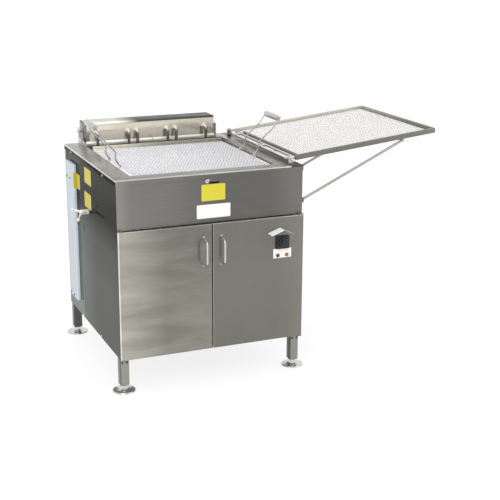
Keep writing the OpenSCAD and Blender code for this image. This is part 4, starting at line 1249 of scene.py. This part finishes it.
@dataclass
class FryingScreen(SubAssembly):
    """The lift-out frying screen with its guard and two bails, in millimetres and degrees.

    Attributes:
        bail_lean: how far a bail's grip lies outside its eyes.
        bail_height: height of the grip over the eyes.
        bail_span: distance between a bail's legs.
        left_turn: how much further the left bail stands up.
        eyes: places of the bails' eyes along X.
        pivot: place of the bails along Y and Z.
    """

    bail_lean: float = 122.0
    bail_height: float = 158.0
    bail_span: float = 150.0
    left_turn: float = 6.6
    eyes: Pair = (106.0, 734.0)
    pivot: Pair = (366.0, 929.0)

    def build(self) -> None:
        """Builds the net, the frame, the guard and the bails."""
        self.net()
        self.frame_bars()
        self.guard()
        for side, sign, eye_x in zip(("left", "right"), (-1, 1), self.eyes):
            self.bail(side, sign, eye_x)

    def net(self) -> None:
        """Builds the woven net inside the frame."""
        low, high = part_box("screen_frame")
        bar = 6 * MM
        woven = WovenNet(high.x - low.x - 2 * bar, high.y - low.y - 2 * bar)
        shape = Shape()
        top = self.at(0, 0, 917).z
        woven.weave(shape, Matrix.Translation((low.x + bar, low.y + bar, top)))
        self.piece("woven_screen", shape, WIRE_METAL, "screen", "screen_mesh", outward=False)

    def frame_bars(self) -> None:
        """Builds the flat bars around the net, and the eyes for the bails."""
        low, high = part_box("screen_frame")
        base, top = self.at(0, 0, 913).z, self.at(0, 0, 919).z
        shape = Shape()
        width, edge = 12 * MM, 1.2 * MM
        for y in (low.y, high.y - width):
            shape.span((low.x, high.x), (y, y + width), (base, top), edge, 2)
        for x in (low.x, high.x - width):
            shape.span((x, x + width), (low.y + width, high.y - width), (base, top), edge, 2)
        eye = [(3.05, 0), (6, 0), (6, 4), (3.05, 4), (3.05, 0)]
        for x in self.eyes:
            for y in (self.pivot[0] - 84.5, self.pivot[0] + 80.5):
                shape.turned(eye, facing(self.at(x, y, self.pivot[1]), BACK), 28)
                shape.block(self.at(x - 6, y, 918), self.at(x + 6, y + 4, 924), 0.6 * MM, 2)
        self.piece("screen_bars", shape, WIRE_METAL, "screen", "screen_frame")

    def guard(self) -> None:
        """Builds the rear guard with a rolled top edge."""
        low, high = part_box("screen_guard")
        shape = Shape()
        shape.block(low, high, 0.7 * MM, 2)
        middle, top = (low.y + high.y) / 2, high.z - 1 * MM
        shape.bar(Vector((low.x, middle, top)), Vector((high.x, middle, top)), 4 * MM, 0.5 * MM, 16)
        self.piece("rolled_guard", shape, GUARD_STEEL, "screen", "screen_guard")

    def bail(self, side: str, sign: int, eye_x: float) -> None:
        """Builds a cranked wire bail and its tube grip.

        Args:
            side: left or right.
            sign: -1 for the left bail and 1 for the right one.
            eye_x: place of its eyes from the cabinet's left side, in millimetres.
        """
        pivot = self.at(eye_x, *self.pivot)
        turn = Matrix.Identity(4)
        if sign < 0:
            flip = Matrix.Diagonal((-1, 1, 1, 1))
            turn = Matrix.Rotation(math.radians(self.left_turn), 4, "Y") @ flip
        place = Matrix.Translation(pivot) @ turn
        lean, height, half = self.bail_lean, self.bail_height, self.bail_span / 2
        crank = [(0, 0), (0.17, 0.15), (0.20, 0.37), (0.74, 0.72), (1, 1)]

        def spot(x: float, y: float, z: float) -> Vector:
            """Gives a place on the bail by millimetres from its pivot."""
            return place @ (Vector((x, y, z)) * MM)

        shape = Shape()
        for end in (-1, 1):
            shape.rod([spot(lean * u, end * half, height * v) for u, v in crank], 6 * MM, 12 * MM)
            shape.bar(spot(0, end * (half - 3), 0), spot(0, end * (half + 14), 0), 6 * MM, 0.8 * MM, 20)
            shape.ball(spot(0, end * half, 0), 8.6 * MM, 20)
        shape.bar(spot(lean, -half - 6, height), spot(lean, half + 6, height), 8 * MM, 1 * MM, 20)
        self.piece(f"{side}_bail_wire", shape, ROD_METAL, f"{side}_bail_body", f"{side}_bail")
        shape = Shape()
        length = self.bail_span - 15
        first = spot(lean, -length / 2, height)
        half_tube = [(4.1, 0), (11.5, 0), (13, 1), (13.5, 3)]
        tube = half_tube + [(r, length - h) for r, h in reversed(half_tube)]
        shape.turned(tube, facing(first, BACK), 36)
        self.piece(f"{side}_bail_grip", shape, GRIP_METAL, f"{side}_bail_body", f"{side}_grip")


@dataclass
class DrainTray(SubAssembly):
    """The hinged drain tray, its woven screen, its stays and the rod that carries it, in millimetres.

    Attributes:
        root: place that the tray's own axes start from.
        slope: rise of the tray, in degrees.
        length: far end of the tray along itself.
        front: its front side along Y.
        rear: its rear side along Y.
        start: near end of its rails.
        rail: width of a rail.
        half: half of a rail's height.
        rod_width: diameter of the hinge rod.
        rod_at: place of the hinge rod along the tray and over it.
        sunk: depth of the screen under the rails' middle.
    """

    root: Point = (798.0, 0.0, 960.0)
    slope: float = 6.15
    length: float = 719.0
    front: float = 20.0
    rear: float = 717.0
    start: float = 18.0
    rail: float = 12.0
    half: float = 11.0
    rod_width: float = 12.0
    rod_at: Pair = (-1.851, -7.847)
    sunk: float = 5.0

    def build(self) -> None:
        """Builds the tray and what carries it."""
        self.pan()
        self.screen()
        self.hinge()
        self.dress(ROD_METAL, "stay_rod", "tray_stays")
        self.dress(PAD_RUBBER, "stay_pads")

    @property
    def place(self) -> Matrix:
        """Gives the matrix from the tray's own axes to the frame."""
        return Matrix.Translation(self.at(*self.root)) @ Matrix.Rotation(math.radians(-self.slope), 4, "Y")

    def settle(self, shape: Shape) -> None:
        """Moves a shape drawn in millimetres along the tray to its place."""
        bmesh.ops.transform(shape.bm, matrix=self.place @ Matrix.Scale(MM, 4), verts=shape.bm.verts)

    def pan(self) -> None:
        """Builds the pan's outer rails with the stay lugs, its sheet with the low rail, and the rod hooks."""
        shape = Shape()
        rail, half, edge = self.rail, self.half, 1.2
        inner = (self.front + rail, self.rear - rail)
        along, upright = (self.start, self.length), (-half, half)
        shape.span(along, (self.front, inner[0]), upright, edge)
        shape.span(along, (inner[1], self.rear), upright, edge)
        shape.span((self.length - rail, self.length), inner, upright, edge)
        shape.span((-7, self.start + 2), (inner[1], self.rear), (1, half), edge)
        for y in (62, 408.5, 671):
            self.lug(shape, y)
        self.settle(shape)
        self.piece("tray_rails", shape, TRAY_STEEL, "tray", "tray_pan")
        shape = Shape()
        shape.span((self.start, self.start + rail), inner, (-half, -1), edge)
        shape.span((self.start + rail, self.length - rail), inner, (-half, -half + 1.5))
        self.settle(shape)
        self.piece("tray_sheet", shape, TRAY_SHEET, "tray")
        shape = Shape()
        hook = self.hook()
        for y in (70, 368.5, 667):
            shape.add_mesh(hook, Matrix.Translation((0, y, 0)))
        bpy.data.meshes.remove(hook)
        self.settle(shape)
        self.piece("rod_hooks", shape, HINGE_METAL, "tray")

    def hook(self) -> bpy.types.Mesh:
        """Builds the hook that lies over the rod, around Y 0, with the block that joins it to the pan.

        Returns:
            The hook's mesh.
        """
        across, inner, outer = 18.0, self.rod_width / 2 + 0.05, self.rod_width / 2 + 4
        x, w = self.rod_at
        shape = Shape()
        verts = [shape.bm.verts.new((x + r, -across, w)) for r in (inner, outer)]
        edge = shape.bm.edges.new(verts)
        bmesh.ops.spin(
            shape.bm, geom=verts + [edge], cent=Vector((x, -across, w)), axis=FRONT,
            angle=math.pi, steps=18, use_duplicate=False,
        )
        made = bmesh.ops.extrude_face_region(shape.bm, geom=shape.bm.faces[:])["geom"]
        moved = [g for g in made if isinstance(g, Vert)]
        bmesh.ops.translate(shape.bm, vec=Vector((0, 2 * across, 0)), verts=moved)
        shape.span((x + inner, self.start + 1), (-across, across), (-self.half, -1), 0.8, 2)
        return shape.to_mesh("hook")

    def lug(self, shape: Shape, y: float) -> None:
        """Adds one lug under the pan for the stay rod."""
        middle = Vector((552, y, -self.half - 7))
        shape.span((middle.x - 6.5, middle.x + 6.5), (y, y + 4), (middle.z, -self.half), 0.6, 2)
        ring = [(4.0, 0), (6.5, 0), (6.5, 4), (4.0, 4), (4.0, 0)]
        shape.turned(ring, facing(middle, BACK), 28, unit=1.0)

    def screen(self) -> None:
        """Builds the woven drain screen with its end bar and cross ribs."""
        low_x, high_x = self.start + self.rail + 1, self.length - self.rail - 1
        low_y, high_y = self.front + self.rail + 1, self.rear - self.rail - 1
        shape = Shape()
        woven = WovenNet(high_x - low_x, high_y - low_y, 10.0, 2.6)
        woven.weave(shape, Matrix.Translation((low_x, low_y, -self.sunk)))
        self.settle(shape)
        self.piece("woven_drain_screen", shape, TRAY_WIRE, "tray", "drain_screen", outward=False)
        shape = Shape()
        for i in range(4):
            x = low_x + i * (high_x - low_x - 3) / 3
            shape.span((x, x + 3), (low_y, high_y), (-9.4, -2.7 - self.sunk), 0.5, 2)
        shape.span((low_x, low_x + 12), (low_y, high_y - 60), (2.7 - self.sunk, 6.2), 0.8, 2)
        shape.span((low_x, low_x + 2), (low_y, high_y), (-2.8 - self.sunk, 2.8 - self.sunk), 0.3, 2)
        self.settle(shape)
        self.piece("drain_screen_bars", shape, BAR_STEEL, "tray")

    def hinge(self) -> None:
        """Builds the rod and its two posts."""
        low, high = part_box("hinge_rod")
        middle = (low + high) / 2
        shape = Shape()
        ends = [Vector((middle.x, y, middle.z)) for y in (low.y, high.y)]
        shape.bar(*ends, self.rod_width * MM, 1.2 * MM, 40)
        self.piece("tray_rod", shape, HINGE_METAL, "cabinet", "hinge_rod")
        low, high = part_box("rod_posts")
        shape = Shape()
        top, side = high.z - 12 * MM, 1 * MM
        for y in (24, 742):
            near, far = self.at(0, y, 0).y, self.at(0, y + 10, 0).y
            shape.span((low.x + side, high.x - side), (near, far), (low.z, top), side, 2)
            shape.bar(Vector((middle.x, near, top)), Vector((middle.x, far, top)), 24 * MM, 1.5 * MM, 36)
        self.piece("round_posts", shape, BRIGHT_METAL, "cabinet", "rod_posts")


@dataclass
class Studio(SubAssembly):
    """Floor, light and camera.

    Attributes:
        stand: the camera's place in millimetres from the cabinet's front left corner on the floor.
        yaw: its turn from the depth axis towards the tray, in degrees.
        pitch: its tilt, in degrees.
        roll: its roll, in degrees.
        focal: its focal length in image pixels.
    """

    stand: Point = (-1235.0, -4288.8, 1949.1)
    yaw: float = 23.10
    pitch: float = -16.41
    roll: float = 0.391
    focal: float = 1122.6

    def build(self) -> None:
        """Builds the floor, the lights and the camera."""
        self.floor()
        self.lights()
        self.camera()

    def floor(self) -> None:
        """Builds a wide pale floor."""
        shape = Shape()
        bmesh.ops.create_grid(shape.bm, x_segments=1, y_segments=1, size=80.0)
        made = put_in_scene("studio_floor", shape.to_mesh("studio_floor"))
        paint = bpy.data.materials.new("floor paint")
        paint.use_nodes = True
        shader = paint.node_tree.nodes["Principled BSDF"]
        shader.inputs["Base Color"].default_value = (0.2, 0.2, 0.2, 1)
        shader.inputs["Roughness"].default_value = 0.9
        shader.inputs["Emission Color"].default_value = (1, 1, 1, 1)
        shader.inputs["Emission Strength"].default_value = 0.81
        made.data.materials.append(paint)

    def lights(self) -> None:
        """Builds an even sky and three soft panels."""
        world = bpy.data.worlds.new("studio sky")
        world.use_nodes = True
        world.node_tree.nodes["Background"].inputs["Color"].default_value = (1, 1, 1, 1)
        world.node_tree.nodes["Background"].inputs["Strength"].default_value = 1.03
        bpy.context.scene.world = world
        self.panel("key_panel", (-1600, -2600, 3200), 1800, 25)
        self.panel("fill_panel", (2600, -2200, 2400), 1600, 10)
        self.panel("top_panel", (500, 600, 3600), 2200, 15)

    def panel(self, name: str, place: Point, width: float, power: float) -> None:
        """Adds a square soft light that looks at the cabinet.

        Args:
            name: name of the light.
            place: its place in millimetres from the cabinet's corner.
            width: its side in millimetres.
            power: its power in watts.
        """
        data = bpy.data.lights.new(name, "AREA")
        data.size = width * MM
        data.energy = power
        light = put_in_scene(name, data)
        light.location = self.at(*place)
        aim = self.at(480, 400, 700) - light.location
        light.rotation_euler = aim.to_track_quat("-Z", "Y").to_euler()

    def camera(self) -> None:
        """Builds the camera from the photograph's solved view."""
        data = bpy.data.cameras.new("photo_camera")
        data.sensor_width = 36.0
        data.lens = self.focal * data.sensor_width / IMAGE_SIZE
        data.clip_end = 200.0
        view = put_in_scene("photo_camera", data)
        turn = Matrix.Rotation(math.radians(-self.yaw), 4, "Z")
        tilt = Matrix.Rotation(math.radians(90 + self.pitch), 4, "X")
        lean = Matrix.Rotation(math.radians(self.roll), 4, "Z")
        view.matrix_world = Matrix.Translation(self.at(*self.stand)) @ turn @ tilt @ lean
        bpy.context.scene.camera = view


def main() -> None:
    """Loads the frame, builds every sub-assembly and sets the scene."""
    logging.basicConfig(level=logging.INFO, format="%(name)s: %(message)s")
    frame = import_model()
    corner = Vector((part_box("left_panel")[0].x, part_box("front_apron")[0].y, 0))
    effects = Effects(corner)
    for part in (Casing, DrainValve, Doors, ElementHead, FryingScreen, DrainTray, Studio):
        part(frame["nodes"], corner, effects).build()
    bpy.context.scene.view_settings.view_transform = "Standard"


if __name__ == "__main__":
    main()
